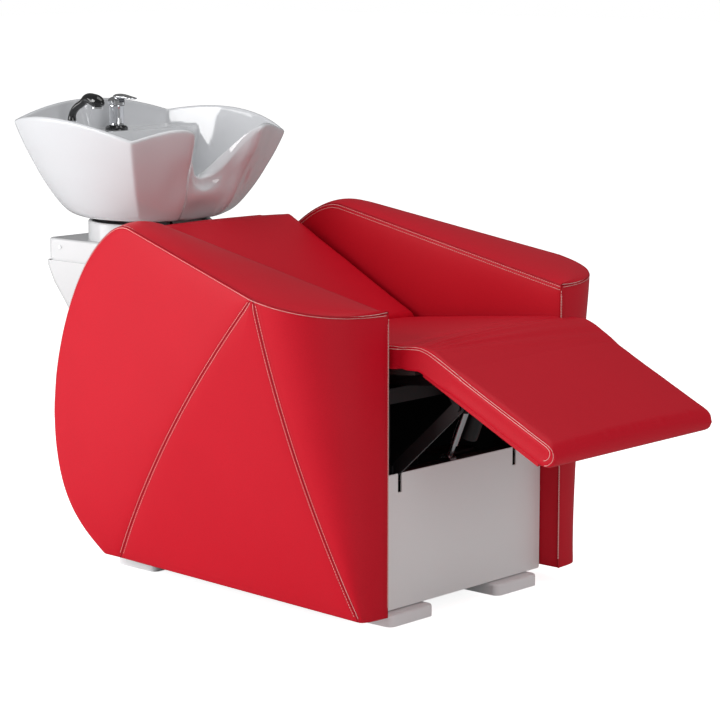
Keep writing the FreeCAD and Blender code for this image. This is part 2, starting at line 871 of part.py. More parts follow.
def legrest_board():
    half = CUSHION_HALF - S.legrest_board_inset
    length = S.legrest_length - S.legrest_board_end
    piece = box("legrest_board", (-half, FRONT + S.hinge_y, S.legrest_start_z),
                (half * 2, length, S.legrest_board_thickness), S.legrest_angle)
    lean = math.radians(float(S.legrest_angle))
    drop = Vector(0, math.sin(lean), -math.cos(lean)) * float(S.legrest_board_thickness)
    along = Vector(0, -math.cos(lean), -math.sin(lean)) * float(length + S.legrest_root_gap)
    corner = LEG_ROOT + along + drop
    piece.setExpression("Placement.Base.y", repr(corner.y))
    piece.setExpression("Placement.Base.z", repr(corner.z))
    slots = []
    root = Vector(0, -math.cos(lean), -math.sin(lean)) * float(S.board_slot_length + S.legrest_root_gap)
    slot_corner = LEG_ROOT + root + drop * 2
    plate_inner = SEAT_RAIL_INNER + S.bar_size
    for side, sign in SIDES:
        x = side_low(sign, plate_inner - S.board_slot_gap, plate_inner + S.plate_thickness + S.board_slot_gap)
        slot = box("board_slot_%s" % side, (x, FRONT + S.hinge_y, S.legrest_start_z),
                   (S.plate_thickness + S.board_slot_gap * 2, S.board_slot_length + S.overrun,
                    S.legrest_board_thickness * 3), S.legrest_angle)
        slot.setExpression("Placement.Base.y", repr(slot_corner.y))
        slot.setExpression("Placement.Base.z", repr(slot_corner.z))
        slots.append(slot)
    return keep("legrest_board", cut("legrest_board", piece, *slots))


legrest_board()


# Steel base: square tubes welded into a frame under the seat and the backrest.

def square_tube(name, corner, lengths, bore, tilt=None):
    """A bar of square tube with its bore along the axis named by bore."""
    outer = box(name + "_outer", corner, lengths, tilt)
    wall = S.bar_wall
    grow = {"x": (0, 1, 1), "y": (1, 0, 1), "z": (1, 1, 0)}[bore]
    inner_lengths = [length - wall * 2 if walled else length + S.overrun * 2
                     for length, walled in zip(lengths, grow)]
    steps = [wall if walled else -S.overrun for walled in grow]
    if tilt is None:
        inner_corner = [start + step for start, step in zip(corner, steps)]
    else:
        lean = math.radians(float(tilt))
        inner_corner = [corner[0] + steps[0],
                        corner[1] + steps[1] * math.cos(lean) - steps[2] * math.sin(lean),
                        corner[2] + steps[1] * math.sin(lean) + steps[2] * math.cos(lean)]
    return cut(name, outer, box(name + "_bore", inner_corner, inner_lengths, tilt))


BAR = S.bar_size
seat_rail_front = S.seat_rail_front_y
seat_bar_rise = -float(S.seat_slope)


def under_seat(y):
    """Height of the seat pan's underside at a distance behind the panel fronts."""
    return S.seat_level_z + y * SEAT_RISE - S.seat_thickness - S.seat_pan_thickness


def under_back(y):
    """Height of the backrest board's underside."""
    return S.back_foot_z + (y - S.back_foot_y) * BACK_RISE - S.back_thickness - S.back_board_thickness


SEAT_COS = math.cos(math.radians(float(S.seat_slope)))
BACK_ANGLE = math.degrees(math.atan(float(BACK_RISE)))
BACK_COS = math.cos(math.radians(BACK_ANGLE))
SEAT_CROSS_TOP = under_seat(S.rail_front_y + BAR) - BAR / SEAT_COS
BACK_CROSS_TOP = under_back(S.rear_post_y) - BAR / BACK_COS
INNER_SPAN = RAIL_INNER * 2


def base_frame():
    """Two long rails and two cross members welded into a ring on the feet."""
    parts = []
    for side, sign in SIDES:
        rail_x = side_low(sign, RAIL_INNER, RAIL_OUTER)
        parts.append(square_tube("base_rail_%s" % side, (rail_x, FRONT + S.rail_front_y, S.foot_height),
                                 (BAR, S.rail_rear_y - S.rail_front_y, BAR), "y"))
    parts.append(square_tube("base_cross_front", (-RAIL_INNER, FRONT + S.rail_front_y, S.foot_height),
                             (INNER_SPAN, BAR, BAR), "x"))
    parts.append(square_tube("base_cross_rear", (-RAIL_INNER, FRONT + S.rail_rear_y - BAR * 2, S.foot_height),
                             (INNER_SPAN, BAR * 2, BAR), "x"))
    keep("base_frame", fuse("base_frame", *parts))


base_frame()


def cross_member(node, y, top):
    keep(node, square_tube(node, (-RAIL_OUTER, FRONT + y, top - BAR), (RAIL_OUTER * 2, BAR, BAR), "x"))


cross_member("seat_cross_member", S.rail_front_y, SEAT_CROSS_TOP)
cross_member("back_cross_member", S.rear_post_y, BACK_CROSS_TOP)


def post(name, sign, y, top):
    """An upright from a base rail to a cross member."""
    x = side_low(sign, RAIL_INNER, RAIL_OUTER)
    return square_tube(name, (x, FRONT + y, S.foot_height + BAR),
                       (BAR, BAR, top - S.foot_height - BAR * 2), "z")


for side, sign in SIDES:
    keep("rear_post_%s" % side, post("rear_post_%s" % side, sign, S.rear_post_y, BACK_CROSS_TOP))


def standoffs():
    """Spacers on the posts that carry the side panels, one group of separate solids."""
    parts = []
    spots = ((S.rail_front_y, S.standoff_low_z), (S.rail_front_y, S.standoff_high_z),
             (S.rear_post_y, S.standoff_low_z), (S.rear_post_y, S.standoff_high_z))
    for side, sign in SIDES:
        for n, (y, z) in enumerate(spots):
            x = side_low(sign, RAIL_OUTER, HALF_CLEAR)
            parts.append(rod("standoff_%s_%d" % (side, n), (x, FRONT + y + BAR / 2, z), S.standoff_radius,
                             HALF_CLEAR - RAIL_OUTER, "x"))
    keep("panel_standoffs", fuse("panel_standoffs", *parts))


standoffs()


# Feet: moulded pads under the rails, each held up by a countersunk screw.

def feet():
    feet_parts, screws = [], []
    for side, sign in SIDES:
        for spot, y in (("front", S.front_foot_y), ("rear", S.rear_foot_y)):
            name = "foot_%s_%s" % (spot, side)
            x = side_low(sign, HALF_CLEAR - S.foot_side_gap - S.foot_width, HALF_CLEAR - S.foot_side_gap)
            block = box(name + "_block", (x, FRONT + y, FLOOR), (S.foot_width, S.foot_length, S.foot_height))
            soft = rounded(name + "_sides", block, S.foot_round,
                           lambda edge: runs_along(edge, Vector(0, 0, 1)))
            top = float(S.foot_height)
            crown = rounded(name + "_top", soft, S.foot_top_round,
                            lambda edge: min(v.Z for v in edge.Vertexes) > top * 0.9)
            centre_x = sign * (RAIL_INNER + BAR / 2)
            centre_y = FRONT + y + S.foot_length / 2
            bore = rod(name + "_bore", (centre_x, centre_y, FLOOR - S.overrun),
                       S.foot_screw_radius + S.foot_screw_clearance, S.foot_height + S.overrun * 2)
            head = rod(name + "_seat", (centre_x, centre_y, FLOOR - S.overrun),
                       S.foot_screw_head_radius + S.foot_screw_clearance,
                       S.overrun + S.foot_screw_recess + S.foot_screw_head_height)
            feet_parts.append(cut(name, crown, bore, head))
            screws.append(rod(name + "_screw_head", (centre_x, centre_y, S.foot_screw_recess),
                              S.foot_screw_head_radius, S.foot_screw_head_height))
            screws.append(rod(name + "_screw_shank", (centre_x, centre_y, S.foot_screw_recess),
                              S.foot_screw_radius,
                              S.foot_height - S.foot_screw_recess))
    keep("feet", fuse("feet", *feet_parts))
    keep("foot_screws", fuse("foot_screws", *screws))


feet()


# Front panel: a sheet on four studs, with two notches in its top edge for the stay arms.

def front_panel():
    half = HALF_CLEAR - S.front_panel_side_gap
    thick = S.sheet_thickness
    y = FRONT + S.front_panel_y
    sheet_box = box("front_sheet", (-half, y, S.front_panel_bottom_z),
                    (half * 2, thick, S.front_panel_top_z - S.front_panel_bottom_z))
    soft = rounded("front_sheet_corners", sheet_box, S.front_panel_round,
                   lambda edge: runs_along(edge, Vector(0, 1, 0)))
    studs, notches = [], []
    for side, sign in SIDES:
        for n, z in enumerate((S.panel_stud_low_z, S.panel_stud_high_z)):
            studs.append(rod("front_stud_%s_%d" % (side, n),
                             (sign * (RAIL_INNER + BAR / 2), y + thick, z), S.panel_stud_radius,
                             S.rail_front_y - S.front_panel_y - thick, "y"))
        notches.append(box("notch_%s" % side,
                           (sign * ARM_PLANE - S.notch_width / 2, y - S.overrun,
                            S.front_panel_top_z - S.notch_depth),
                           (S.notch_width, S.overrun * 2 + thick, S.notch_depth + S.overrun)))
    keep("front_panel", cut("front_panel", fuse("front_panel_blank", soft, *studs), *notches))


front_panel()

rear_half = HALF_CLEAR - S.front_panel_side_gap
keep("rear_panel", box("rear_panel", (-rear_half, FRONT + S.rear_panel_y, S.rear_panel_bottom_z),
                       (rear_half * 2, S.sheet_thickness, S.rear_panel_top_z - S.rear_panel_bottom_z)))


# Legrest hinge: plates on the seat rails, plates on the legrest board, pins through both.

SEAT_PLATE = SEAT_RAIL_INNER + BAR
LEG_PLATE = SEAT_PLATE + S.plate_thickness + S.plate_gap
HINGE_Y = FRONT + S.hinge_y


def leg_point(along, square):
    """A point of the legrest's side view, along the pad and square to it, in the row frame."""
    lean = math.radians(float(S.legrest_angle))
    y = HINGE_Y - along * math.cos(lean) - square * math.sin(lean)
    z = S.legrest_start_z - along * math.sin(lean) + square * math.cos(lean)
    return y, z


def seat_rail(side, sign):
    """A bent bar under seat and backrest, with the hinge plate welded to its outer face."""
    x = side_low(sign, SEAT_RAIL_INNER, SEAT_PLATE)
    bend = S.seat_bend_y
    lean = math.radians(float(S.seat_slope))
    start = (x, FRONT + S.seat_rail_front_y - BAR * math.sin(lean),
             under_seat(S.seat_rail_front_y) - BAR * math.cos(lean))
    length = (bend - S.seat_rail_front_y) / SEAT_COS
    seat_bar = square_tube("seat_bar_%s" % side, start, (BAR, length, BAR), "y", -S.seat_slope)
    tilt = math.radians(BACK_ANGLE)
    foot = (x, FRONT + bend + BAR * math.sin(tilt), under_back(bend) - BAR * math.cos(tilt))
    back_bar = square_tube("back_bar_%s" % side, foot, (BAR, (S.back_top_y - bend) / BACK_COS - BAR, BAR),
                           "y",
                           Size(BACK_ANGLE, repr(BACK_ANGLE)))
    knee = box("seat_knee_%s" % side, (x, FRONT + bend - BAR * S.knee_back_share,
                                       under_seat(bend) - BAR * S.knee_drop_share), (BAR, BAR, BAR))
    margin = S.plate_margin
    rail_y = HINGE_Y + S.seat_plate_length
    rise = under_seat(S.hinge_y + margin)
    plate = Plate("seat_hinge_plate_%s" % side, "x")
    sketch = plate.outline([(HINGE_Y - margin, S.hinge_z - margin), (HINGE_Y + margin, S.hinge_z - margin),
                            (rail_y, under_seat(S.hinge_y + S.seat_plate_length) - BAR),
                            (rail_y, under_seat(S.hinge_y + S.seat_plate_length) - S.plate_gap),
                            (HINGE_Y + margin, rise - S.plate_gap), (HINGE_Y - margin,
                                                                     S.hinge_z + margin / 2)])
    plate.circle((HINGE_Y, S.hinge_z), S.hinge_pin_radius, sketch)
    plate.pad(sketch, S.plate_thickness)
    place(plate.body, (side_low(sign, SEAT_PLATE, LEG_PLATE - S.plate_gap), MIDDLE, FLOOR))
    keep("seat_rail_%s" % side, fuse("seat_rail_%s" % side, seat_bar, back_bar, knee, plate.body))


for side, sign in SIDES:
    seat_rail(side, sign)


def legrest_plates():
    """A pair of cheeks under the legrest board, from the hinge to the lugs of the stay arms."""
    parts = []
    margin = S.plate_margin
    far = S.legrest_plate_length
    under = -S.legrest_board_thickness
    lug_y, lug_z = FRONT + S.lug_y, S.lug_z
    for side, sign in SIDES:
        leg = Plate("legrest_cheek_%s" % side, "x")
        sketch = leg.outline([leg_point(-S.plate_root_margin, under), (HINGE_Y + margin, S.hinge_z - margin),
                              (lug_y + margin, lug_z - margin), (lug_y - margin, lug_z - margin),
                              (lug_y - margin, lug_z + margin), leg_point(far, under)])
        leg.circle((HINGE_Y, S.hinge_z), S.hinge_pin_radius + S.pin_clearance, sketch)
        leg.circle((lug_y, lug_z), S.lug_pin_radius, sketch)
        leg.pad(sketch, S.plate_thickness)
        place(leg.body, (side_low(sign, LEG_PLATE, LEG_PLATE + S.plate_thickness), MIDDLE, FLOOR))
        parts.append(leg.body)
    keep("legrest_plates", fuse("legrest_plates", *parts))


legrest_plates()


def hinge_pins():
    """Shouldered pins: one pair at the legrest hinge, one pair at the stay arms."""
    hinge_parts, lug_parts = [], []
    outer = LEG_PLATE + S.plate_thickness
    arm_outer = ARM_PLANE + S.arm_thickness / 2
    for side, sign in SIDES:
        head_start = SEAT_PLATE - S.rail_face_gap
        x = side_low(sign, head_start, outer + S.plate_gap)
        hinge_parts.append(rod("hinge_pin_shank_%s" % side, (x, HINGE_Y, S.hinge_z), S.hinge_pin_radius,
                               outer + S.plate_gap - head_start, "x"))
        x = side_low(sign, outer + S.plate_gap / 2, outer + S.plate_gap / 2 + S.pin_head_height)
        hinge_parts.append(rod("hinge_pin_head_%s" % side, (x, HINGE_Y, S.hinge_z), S.pin_head_radius,
                               S.pin_head_height, "x"))
        x = side_low(sign, LEG_PLATE, arm_outer + S.plate_gap)
        lug_parts.append(rod("lug_pin_shank_%s" % side, (x, FRONT + S.lug_y, S.lug_z), S.lug_pin_radius,
                             arm_outer + S.plate_gap - LEG_PLATE, "x"))
        x = side_low(sign, arm_outer + S.plate_gap / 2, arm_outer + S.plate_gap / 2 + S.pin_head_height)
        lug_parts.append(rod("lug_pin_head_%s" % side, (x, FRONT + S.lug_y, S.lug_z), S.pin_head_radius,
                             S.pin_head_height, "x"))
    keep("hinge_pins", fuse("hinge_pins", *hinge_parts))
    keep("arm_pins", fuse("arm_pins", *lug_parts))


hinge_pins()


# Stay arms: flat bars from the legrest lugs through the notches to a cross tube in guides.

ARM_TILT = -S.arm_angle
lean = math.radians(float(S.arm_angle))
TUBE_Y = FRONT + S.lug_y + S.arm_length * math.cos(lean)
TUBE_Z = S.lug_z - S.arm_length * math.sin(lean)


def stay_arms():
    half_width = S.arm_width / 2
    for side, sign in SIDES:
        x = side_low(sign, ARM_PLANE - S.arm_thickness / 2, ARM_PLANE + S.arm_thickness / 2)
        corner = (x, FRONT + S.lug_y - half_width * math.sin(lean), S.lug_z - half_width * math.cos(lean))
        bar = box("stay_bar_%s" % side, corner, (S.arm_thickness, S.arm_length, S.arm_width), ARM_TILT)
        ends = [rod("stay_end_%s_%d" % (side, n), (x, y, z), half_width, S.arm_thickness, "x")
                for n, (y, z) in enumerate(((FRONT + S.lug_y, S.lug_z), (TUBE_Y, TUBE_Z)))]
        blank = fuse("stay_blank_%s" % side, bar, *ends)
        lug_hole = rod("stay_hole_%s" % side, (x - S.overrun, FRONT + S.lug_y, S.lug_z),
                       S.lug_pin_radius + S.pin_clearance, S.arm_thickness + S.overrun * 2, "x")
        tube_hole = rod("stay_socket_%s" % side, (x - S.overrun, TUBE_Y, TUBE_Z), S.guide_pin_radius,
                        S.arm_thickness + S.overrun * 2, "x")
        keep("stay_arm_%s" % side, cut("stay_arm_%s" % side, blank, lug_hole, tube_hole))


stay_arms()


def cross_tube():
    """The tube between the arms, and the two pins on its ends that run in the guides."""
    inner = ARM_PLANE - S.arm_thickness / 2
    outer = rod("cross_tube_skin", (-inner, TUBE_Y, TUBE_Z), S.cross_tube_radius, inner * 2, "x")
    bore = rod("cross_tube_bore", (-inner - S.overrun, TUBE_Y, TUBE_Z),
               S.cross_tube_radius - S.cross_tube_wall,
               (inner + S.overrun) * 2, "x")
    keep("cross_tube", cut("cross_tube", outer, bore))
    pins = []
    plug = S.cross_tube_radius - S.cross_tube_wall
    end = GUIDE_INNER + S.plate_thickness
    for side, sign in SIDES:
        x = side_low(sign, inner - S.overrun, inner)
        pins.append(rod("guide_plug_%s" % side, (x, TUBE_Y, TUBE_Z), plug, S.overrun, "x"))
        x = side_low(sign, inner - S.overrun, end)
        pins.append(rod("guide_shank_%s" % side, (x, TUBE_Y, TUBE_Z), S.guide_pin_radius,
                        end - inner + S.overrun, "x"))
    keep("guide_pins", fuse("guide_pins", *pins))


cross_tube()


def guides():
    """Upright plates inside the rails, each with a leaning slot for a guide pin."""
    clear = S.guide_pin_radius + S.slot_clearance
    reach = math.hypot(float(S.slot_lean_y), float(S.slot_travel_z))
    tilt = math.degrees(math.atan2(float(S.slot_lean_y), float(S.slot_travel_z)))
    for side, sign in SIDES:
        x = side_low(sign, GUIDE_INNER, GUIDE_INNER + S.plate_thickness)
        blank = box("guide_blank_%s" % side, (x, FRONT + S.guide_front_y, S.foot_height + BAR),
                    (S.plate_thickness, TUBE_Y + S.guide_rear_margin - FRONT - S.guide_front_y,
                     S.guide_top_z - S.foot_height - BAR))
        tools = []
        low_y, low_z = TUBE_Y + S.slot_lean_y, TUBE_Z - S.slot_travel_z
        for n, (y, z) in enumerate(((TUBE_Y, TUBE_Z), (low_y, low_z))):
            tools.append(rod("guide_slot_end_%s_%d" % (side, n), (x - S.overrun, y, z), clear,
                             S.plate_thickness + S.overrun * 2, "x"))
        lean_cos, lean_sin = math.cos(math.radians(tilt)), math.sin(math.radians(tilt))
        corner = (x - S.overrun, low_y - clear * lean_cos, low_z - clear * lean_sin)
        tools.append(box("guide_slot_run_%s" % side, corner,
                         (S.plate_thickness + S.overrun * 2, clear * 2, Size(reach, repr(reach))),
                         Size(tilt, repr(tilt))))
        guide = cut("arm_guide_%s" % side, blank, *tools)
        keep("front_post_%s" % side,
             fuse("front_post_%s" % side, post("front_upright_%s" % side, sign, S.rail_front_y,
                                               SEAT_CROSS_TOP), guide))


guides()


# Actuator: a tube hung from a bar across the seat rails, with a rod that ends in a slotted eye.

ACT_Y = FRONT + S.actuator_y
ACT_DROP = Size(180.0 - float(S.actuator_lean), "(180.0 - %s)" % S.actuator_lean.text)
act_lean = math.radians(float(S.actuator_lean))
ACT_TILT = Size(-(180.0 - float(S.actuator_lean)), "(%s - 180.0)" % S.actuator_lean.text)


def down_axis(distance):
    """A point on the actuator's axis, at a distance below its upper pin."""
    return ACT_Y + distance * math.sin(act_lean), S.actuator_z - distance * math.cos(act_lean)


def axis_rod(name, start, radius, length, x=MIDDLE):
    """A cylinder that points down the actuator's axis from a distance below the pin."""
    y, z = down_axis(start)
    return rod(name, (x, y, z), radius, length, tilt=ACT_TILT)


def actuator():
    width = S.actuator_eye_width
    eye = rod("tube_eye", (-width / 2, ACT_Y, S.actuator_z), S.actuator_eye_radius, width, "x")
    neck = axis_rod("tube_neck", MIDDLE, width / 2 - S.plate_gap, S.gearbox_start + S.gearbox_length)
    tube = axis_rod("tube_shell", S.gearbox_start, S.actuator_tube_radius,
                    S.actuator_tube_length - S.gearbox_start)
    bore = axis_rod("tube_bore", S.rod_top_gap - S.plate_gap, S.rod_radius + S.rod_running_gap,
                    S.actuator_tube_length)
    hole = rod("tube_eye_hole", (-width, ACT_Y, S.actuator_z), S.actuator_pin_radius + S.pin_clearance,
               width * 2, "x")
    box_y, box_z = down_axis(S.gearbox_start)
    gap = S.gearbox_depth / 2
    corner = (-S.gearbox_width / 2, box_y - gap * math.cos(act_lean), box_z - gap * math.sin(act_lean))
    case = box("gearbox_case", corner, (S.gearbox_width + S.motor_offset, S.gearbox_length, S.gearbox_depth),
               Size(-(90.0 - float(S.actuator_lean)), "(%s - 90.0)" % S.actuator_lean.text))
    keep("actuator_tube", cut("actuator_tube", fuse("tube_blank", eye, neck, tube, case), bore, hole))
    motor = axis_rod("motor_can", S.gearbox_start + S.gearbox_length, S.motor_radius, S.motor_length,
                     S.motor_offset)
    keep("actuator_motor", motor)

    tip = S.actuator_reach - S.rod_eye_radius
    shaft = axis_rod("rod_shaft", S.rod_top_gap, S.rod_radius, tip - S.rod_top_gap + S.rod_radius)
    eye_y, eye_z = down_axis(S.actuator_reach)
    play_y, play_z = down_axis(S.actuator_reach + S.rod_eye_play)
    half = S.rod_eye_width / 2
    ends = [rod("rod_eye_%d" % n, (-half, y, z), S.rod_eye_radius, S.rod_eye_width, "x")
            for n, (y, z) in enumerate(((eye_y, eye_z), (play_y, play_z)))]
    body_y, body_z = down_axis(S.actuator_reach)
    link_tilt = Size(-(90.0 - float(S.actuator_lean)), "(%s - 90.0)" % S.actuator_lean.text)

    def link(name, radius, x_half):
        corner = (-x_half, body_y - radius * math.cos(act_lean), body_z - radius * math.sin(act_lean))
        return box(name, corner, (x_half * 2, S.rod_eye_play, radius * 2), link_tilt)

    blank = fuse("rod_blank", shaft, link("rod_eye_link", S.rod_eye_radius, half), *ends)
    clear = S.cross_tube_radius + S.rod_eye_clearance
    tools = [rod("rod_eye_hole_%d" % n, (-half - S.overrun, y, z), clear, S.rod_eye_width + S.overrun * 2,
                 "x")
             for n, (y, z) in enumerate(((eye_y, eye_z), (play_y, play_z)))]
    tools.append(link("rod_eye_slot", clear, half + S.overrun))
    keep("actuator_rod", cut("actuator_rod", blank, *tools))


actuator()


def actuator_clevis():
    """Two cheeks and a bridge under the nose bar, with the actuator's upper pin."""
    half = S.actuator_eye_width / 2 + S.clevis_gap
    depth = S.clevis_half_depth
    top = under_seat(S.nose_bar_y + BAR) - BAR
    bar = square_tube("nose_bar", (-SEAT_RAIL_INNER, FRONT + S.nose_bar_y, top),
                      (SEAT_RAIL_INNER * 2, BAR, BAR), "x")
    parts = []
    for side, sign in SIDES:
        x = side_low(sign, half, half + S.clevis_thickness)
        parts.append(box("clevis_cheek_%s" % side, (x, ACT_Y - depth, S.actuator_z - S.clevis_drop),
                         (S.clevis_thickness, depth * 2, top - S.actuator_z + S.clevis_drop)))
    outer = half + S.clevis_thickness
    blank = fuse("clevis_blank", *parts)
    hole = rod("clevis_hole", (-outer - S.overrun, ACT_Y, S.actuator_z), S.actuator_pin_radius,
               (outer + S.overrun) * 2, "x")
    keep("actuator_hanger", fuse("actuator_hanger", bar, cut("clevis_bored", blank, hole)))
    pin = rod("clevis_pin_shank", (-outer, ACT_Y, S.actuator_z), S.actuator_pin_radius, outer * 2, "x")
    heads = [rod("clevis_pin_head_%s" % side, (side_low(sign, outer, outer + S.pin_head_height), ACT_Y,
                                               S.actuator_z),
                 S.actuator_pin_radius + S.plate_gap * 2, S.pin_head_height, "x") for side, sign in SIDES]
    keep("actuator_pin", fuse("actuator_pin", pin, *heads))


actuator_clevis()

control_x = GUIDE_INNER - S.control_side_gap - S.control_box_length
control_block = box("control_block", (control_x, TUBE_Y + S.control_tube_gap, S.foot_height),
                    (S.control_box_length, S.control_box_depth, S.control_box_height + BAR))
keep("control_box", rounded("control_box", control_block, S.control_box_round, lambda edge: True))


# Pedestal: a hollow shell that leans back from the base, a box head, a collar and a steel core.

def pedestal_shell():
    half = S.pedestal_half_width
    wall = S.pedestal_wall
    rear_points = (("pedestal_haunch", 1.0, 0.6), ("pedestal_slope", 0.8, 0.8),
                   ("pedestal_knee", 0.85, 0.5), ("pedestal_shaft", 1.0, 0.1))

    def profile(inset, front, top, bottom):
        rear = FRONT + S.pedestal_rear_y - inset
        points = [(front, top), (rear, top), (rear, S.pedestal_top_z - S.pedestal_lip)]
        for name, inward_share, up_share in rear_points:
            points.append((FRONT + getattr(S, name + "_y") - inset * inward_share,
                           getattr(S, name + "_z") + inset * up_share))
        points.append((FRONT + S.pedestal_shaft_y - inset, bottom))
        points.append((front, bottom))
        return points

    front = FRONT + S.pedestal_front_y
    plate = Plate("pedestal_outside", "x")
    plate.pad(plate.outline(profile(MIDDLE, front, S.pedestal_top_z, S.pedestal_bottom_z)), half * 2)
    low_y = float(FRONT + S.pedestal_shaft_y) - float(wall)
    plate.fillet(S.pedestal_round, lambda edge: min(v.Y for v in edge.Vertexes) > low_y
                 and not runs_along(edge, Vector(1, 0, 0)))
    place(plate.body, (-half, MIDDLE, FLOOR))
    doc.recompute()
    inner = Plate("pedestal_hollow", "x")
    inner_half = half - wall
    inner.pad(inner.outline(profile(wall, front - S.overrun, S.pedestal_top_z + S.overrun,
                                    S.pedestal_bottom_z - S.overrun)), inner_half * 2)
    inner.fillet(S.pedestal_round - wall, lambda edge: min(v.Y for v in edge.Vertexes) > low_y - float(wall)
                 and not runs_along(edge, Vector(1, 0, 0)))
    place(inner.body, (-inner_half, MIDDLE, FLOOR))
    keep("pedestal_shell", cut("pedestal_shell", plate.body, inner.body))


pedestal_shell()


def pedestal_head():
    half = S.pedestal_half_width - S.head_inset
    front, rear = FRONT + S.head_front_y, FRONT + S.head_rear_y
    height = S.head_top_z - S.head_bottom_z
    wall = S.pedestal_wall
    block = box("head_block", (-half, front, S.head_bottom_z), (half * 2, rear - front, height))
    soft = rounded("head_sides", block, S.head_round, lambda edge: runs_along(edge, Vector(0, 0, 1)))
    top = float(S.head_top_z)
    crown = rounded("head_top", soft, S.head_edge_round,
                    lambda edge: min(v.Z for v in edge.Vertexes) > top - 1)
    hollow = box("head_hollow", (-half + wall, front + wall, S.pedestal_top_z - S.overrun),
                 (half * 2 - wall * 2, rear - front - wall * 2,
                  S.head_top_z - S.pedestal_top_z + S.overrun - wall))
    room = rounded("head_room", hollow, S.head_round - wall, lambda edge: runs_along(edge, Vector(0, 0, 1)))
    mouth = rod("head_mouth", (MIDDLE, FRONT + S.collar_centre_y, S.head_bottom_z),
                S.collar_radius - S.collar_wall, height + S.overrun)
    inset = S.head_seam_inset
    seam = box("seam_block", (-half + inset, front + inset, S.pedestal_top_z),
               (half * 2 - inset * 2, rear - front - inset * 2, S.head_bottom_z - S.pedestal_top_z))
    base = rounded("seam_sides", seam, S.head_round, lambda edge: runs_along(edge, Vector(0, 0, 1)))
    keep("pedestal_head", cut("pedestal_head", fuse("head_blank", crown, base), room, mouth))


pedestal_head()

collar_inner = S.collar_radius - S.collar_wall
turned("basin_collar", [(collar_inner, FLOOR), (S.collar_radius, FLOOR),
                        (S.collar_radius, S.collar_height - S.collar_edge_round),
                        (S.collar_radius - S.collar_edge_round, S.collar_height),
                        (collar_inner + S.collar_edge_round, S.collar_height),
                        (collar_inner, S.collar_height - S.collar_edge_round)],
       (MIDDLE, FRONT + S.collar_centre_y, S.head_top_z))

screw_parts = []
for side, sign in SIDES:
    outer = S.pedestal_half_width - S.head_inset
    x = side_low(sign, outer, outer + S.cover_screw_height)
    screw_parts.append(rod("cover_screw_%s" % side, (x, FRONT + S.cover_screw_y, S.cover_screw_z),
                           S.cover_screw_radius, S.cover_screw_height, "x"))
keep("cover_screws", fuse("cover_screws", *screw_parts))

# Basin carrier: a steel column with a fork on top, two pins, and a plate with lugs under the basin.

CENTRE_Y = FRONT + S.collar_centre_y


def tilt_fork():
    thick = S.fork_plate_thickness
    half = S.fork_plate_half_width
    plate = box("fork_plate", (-half, FRONT + S.fork_plate_front_y, S.fork_plate_top_z - thick),
                (half * 2, S.fork_plate_rear_y - S.fork_plate_front_y, thick))
    ears = [box("fork_ear_%s" % side,
                (side_low(sign, S.fork_ear_inner, S.fork_ear_inner + S.fork_ear_thickness),
                 CENTRE_Y - S.fork_ear_half_depth, S.fork_plate_top_z),
                (S.fork_ear_thickness, S.fork_ear_half_depth * 2, S.fork_ear_top_z - S.fork_plate_top_z))
            for side, sign in SIDES]
    blank = fuse("fork_blank", plate, *ears)
    outer = S.fork_ear_inner + S.fork_ear_thickness + S.overrun
    hole = rod("fork_pin_hole", (-outer, CENTRE_Y, S.tilt_axis_z), S.tilt_pin_radius, outer * 2, "x")
    drain = rod("fork_drain_hole", (MIDDLE, CENTRE_Y, S.fork_plate_top_z - thick - S.overrun),
                S.fork_hole_radius,
                thick + S.overrun * 2)
    column = square_tube("column_tube", (-S.column_width / 2, FRONT + S.column_y, S.foot_height + BAR),
                         (S.column_width, S.column_depth, S.fork_plate_top_z - thick - S.foot_height - BAR), "z")
    keep("basin_column", fuse("basin_column", cut("fork", blank, hole, drain), column))
    end = S.fork_ear_inner + S.fork_ear_thickness + S.tilt_pin_end
    pins = [rod("tilt_pin_%s" % side, (side_low(sign, S.tilt_pin_inner, end), CENTRE_Y, S.tilt_axis_z),
                S.tilt_pin_radius, end - S.tilt_pin_inner, "x") for side, sign in SIDES]
    keep("tilt_pins", fuse("tilt_pins", *pins))


tilt_fork()


def basin_plate():
    thick = S.basin_plate_thickness
    half, depth = S.basin_plate_half_width, S.basin_plate_half_depth
    under = S.basin_base_z - thick
    plate = box("basin_plate_sheet", (-half, CENTRE_Y - depth, under), (half * 2, depth * 2, thick))
    outer = S.fork_ear_inner - S.basin_lug_gap
    inner = outer - S.basin_lug_thickness
    low = S.tilt_axis_z - S.basin_lug_below
    lugs = [box("basin_lug_%s" % side, (side_low(sign, inner, outer), CENTRE_Y - S.basin_lug_half_depth, low),
                (S.basin_lug_thickness, S.basin_lug_half_depth * 2, under - low)) for side, sign in SIDES]
    blank = fuse("basin_plate_blank", plate, *lugs)
    hole = rod("basin_lug_hole", (-outer - S.overrun, CENTRE_Y, S.tilt_axis_z),
               S.tilt_pin_radius + S.pin_clearance,
               (outer + S.overrun) * 2, "x")
    drain = rod("basin_plate_hole", (MIDDLE, CENTRE_Y, under - S.overrun), S.tail_nut_radius + S.plate_gap,
                thick + S.overrun * 2)
    keep("basin_plate", cut("basin_plate", blank, hole, drain))


basin_plate()


# Basin: glazed ceramic, four bowed sides that close towards the foot, an arched rim,
# a bowl, a raised deck for the tap at the rear and a neck recess at the front.

def basin_outline(z, half, front, rear, front_bow, side_bow, rear_bow):
    corners = [Vector(-half, front, z), Vector(half, front, z), Vector(half, rear, z), Vector(-half, rear, z)]
    middles = [Vector(0, front - front_bow, z), Vector(half + side_bow, (front + rear) / 2, z),
               Vector(0, rear + rear_bow, z), Vector(-half - side_bow, (front + rear) / 2, z)]
    return Part.Wire([arc(corners[n], middles[n], corners[(n + 1) % 4]) for n in range(4)])


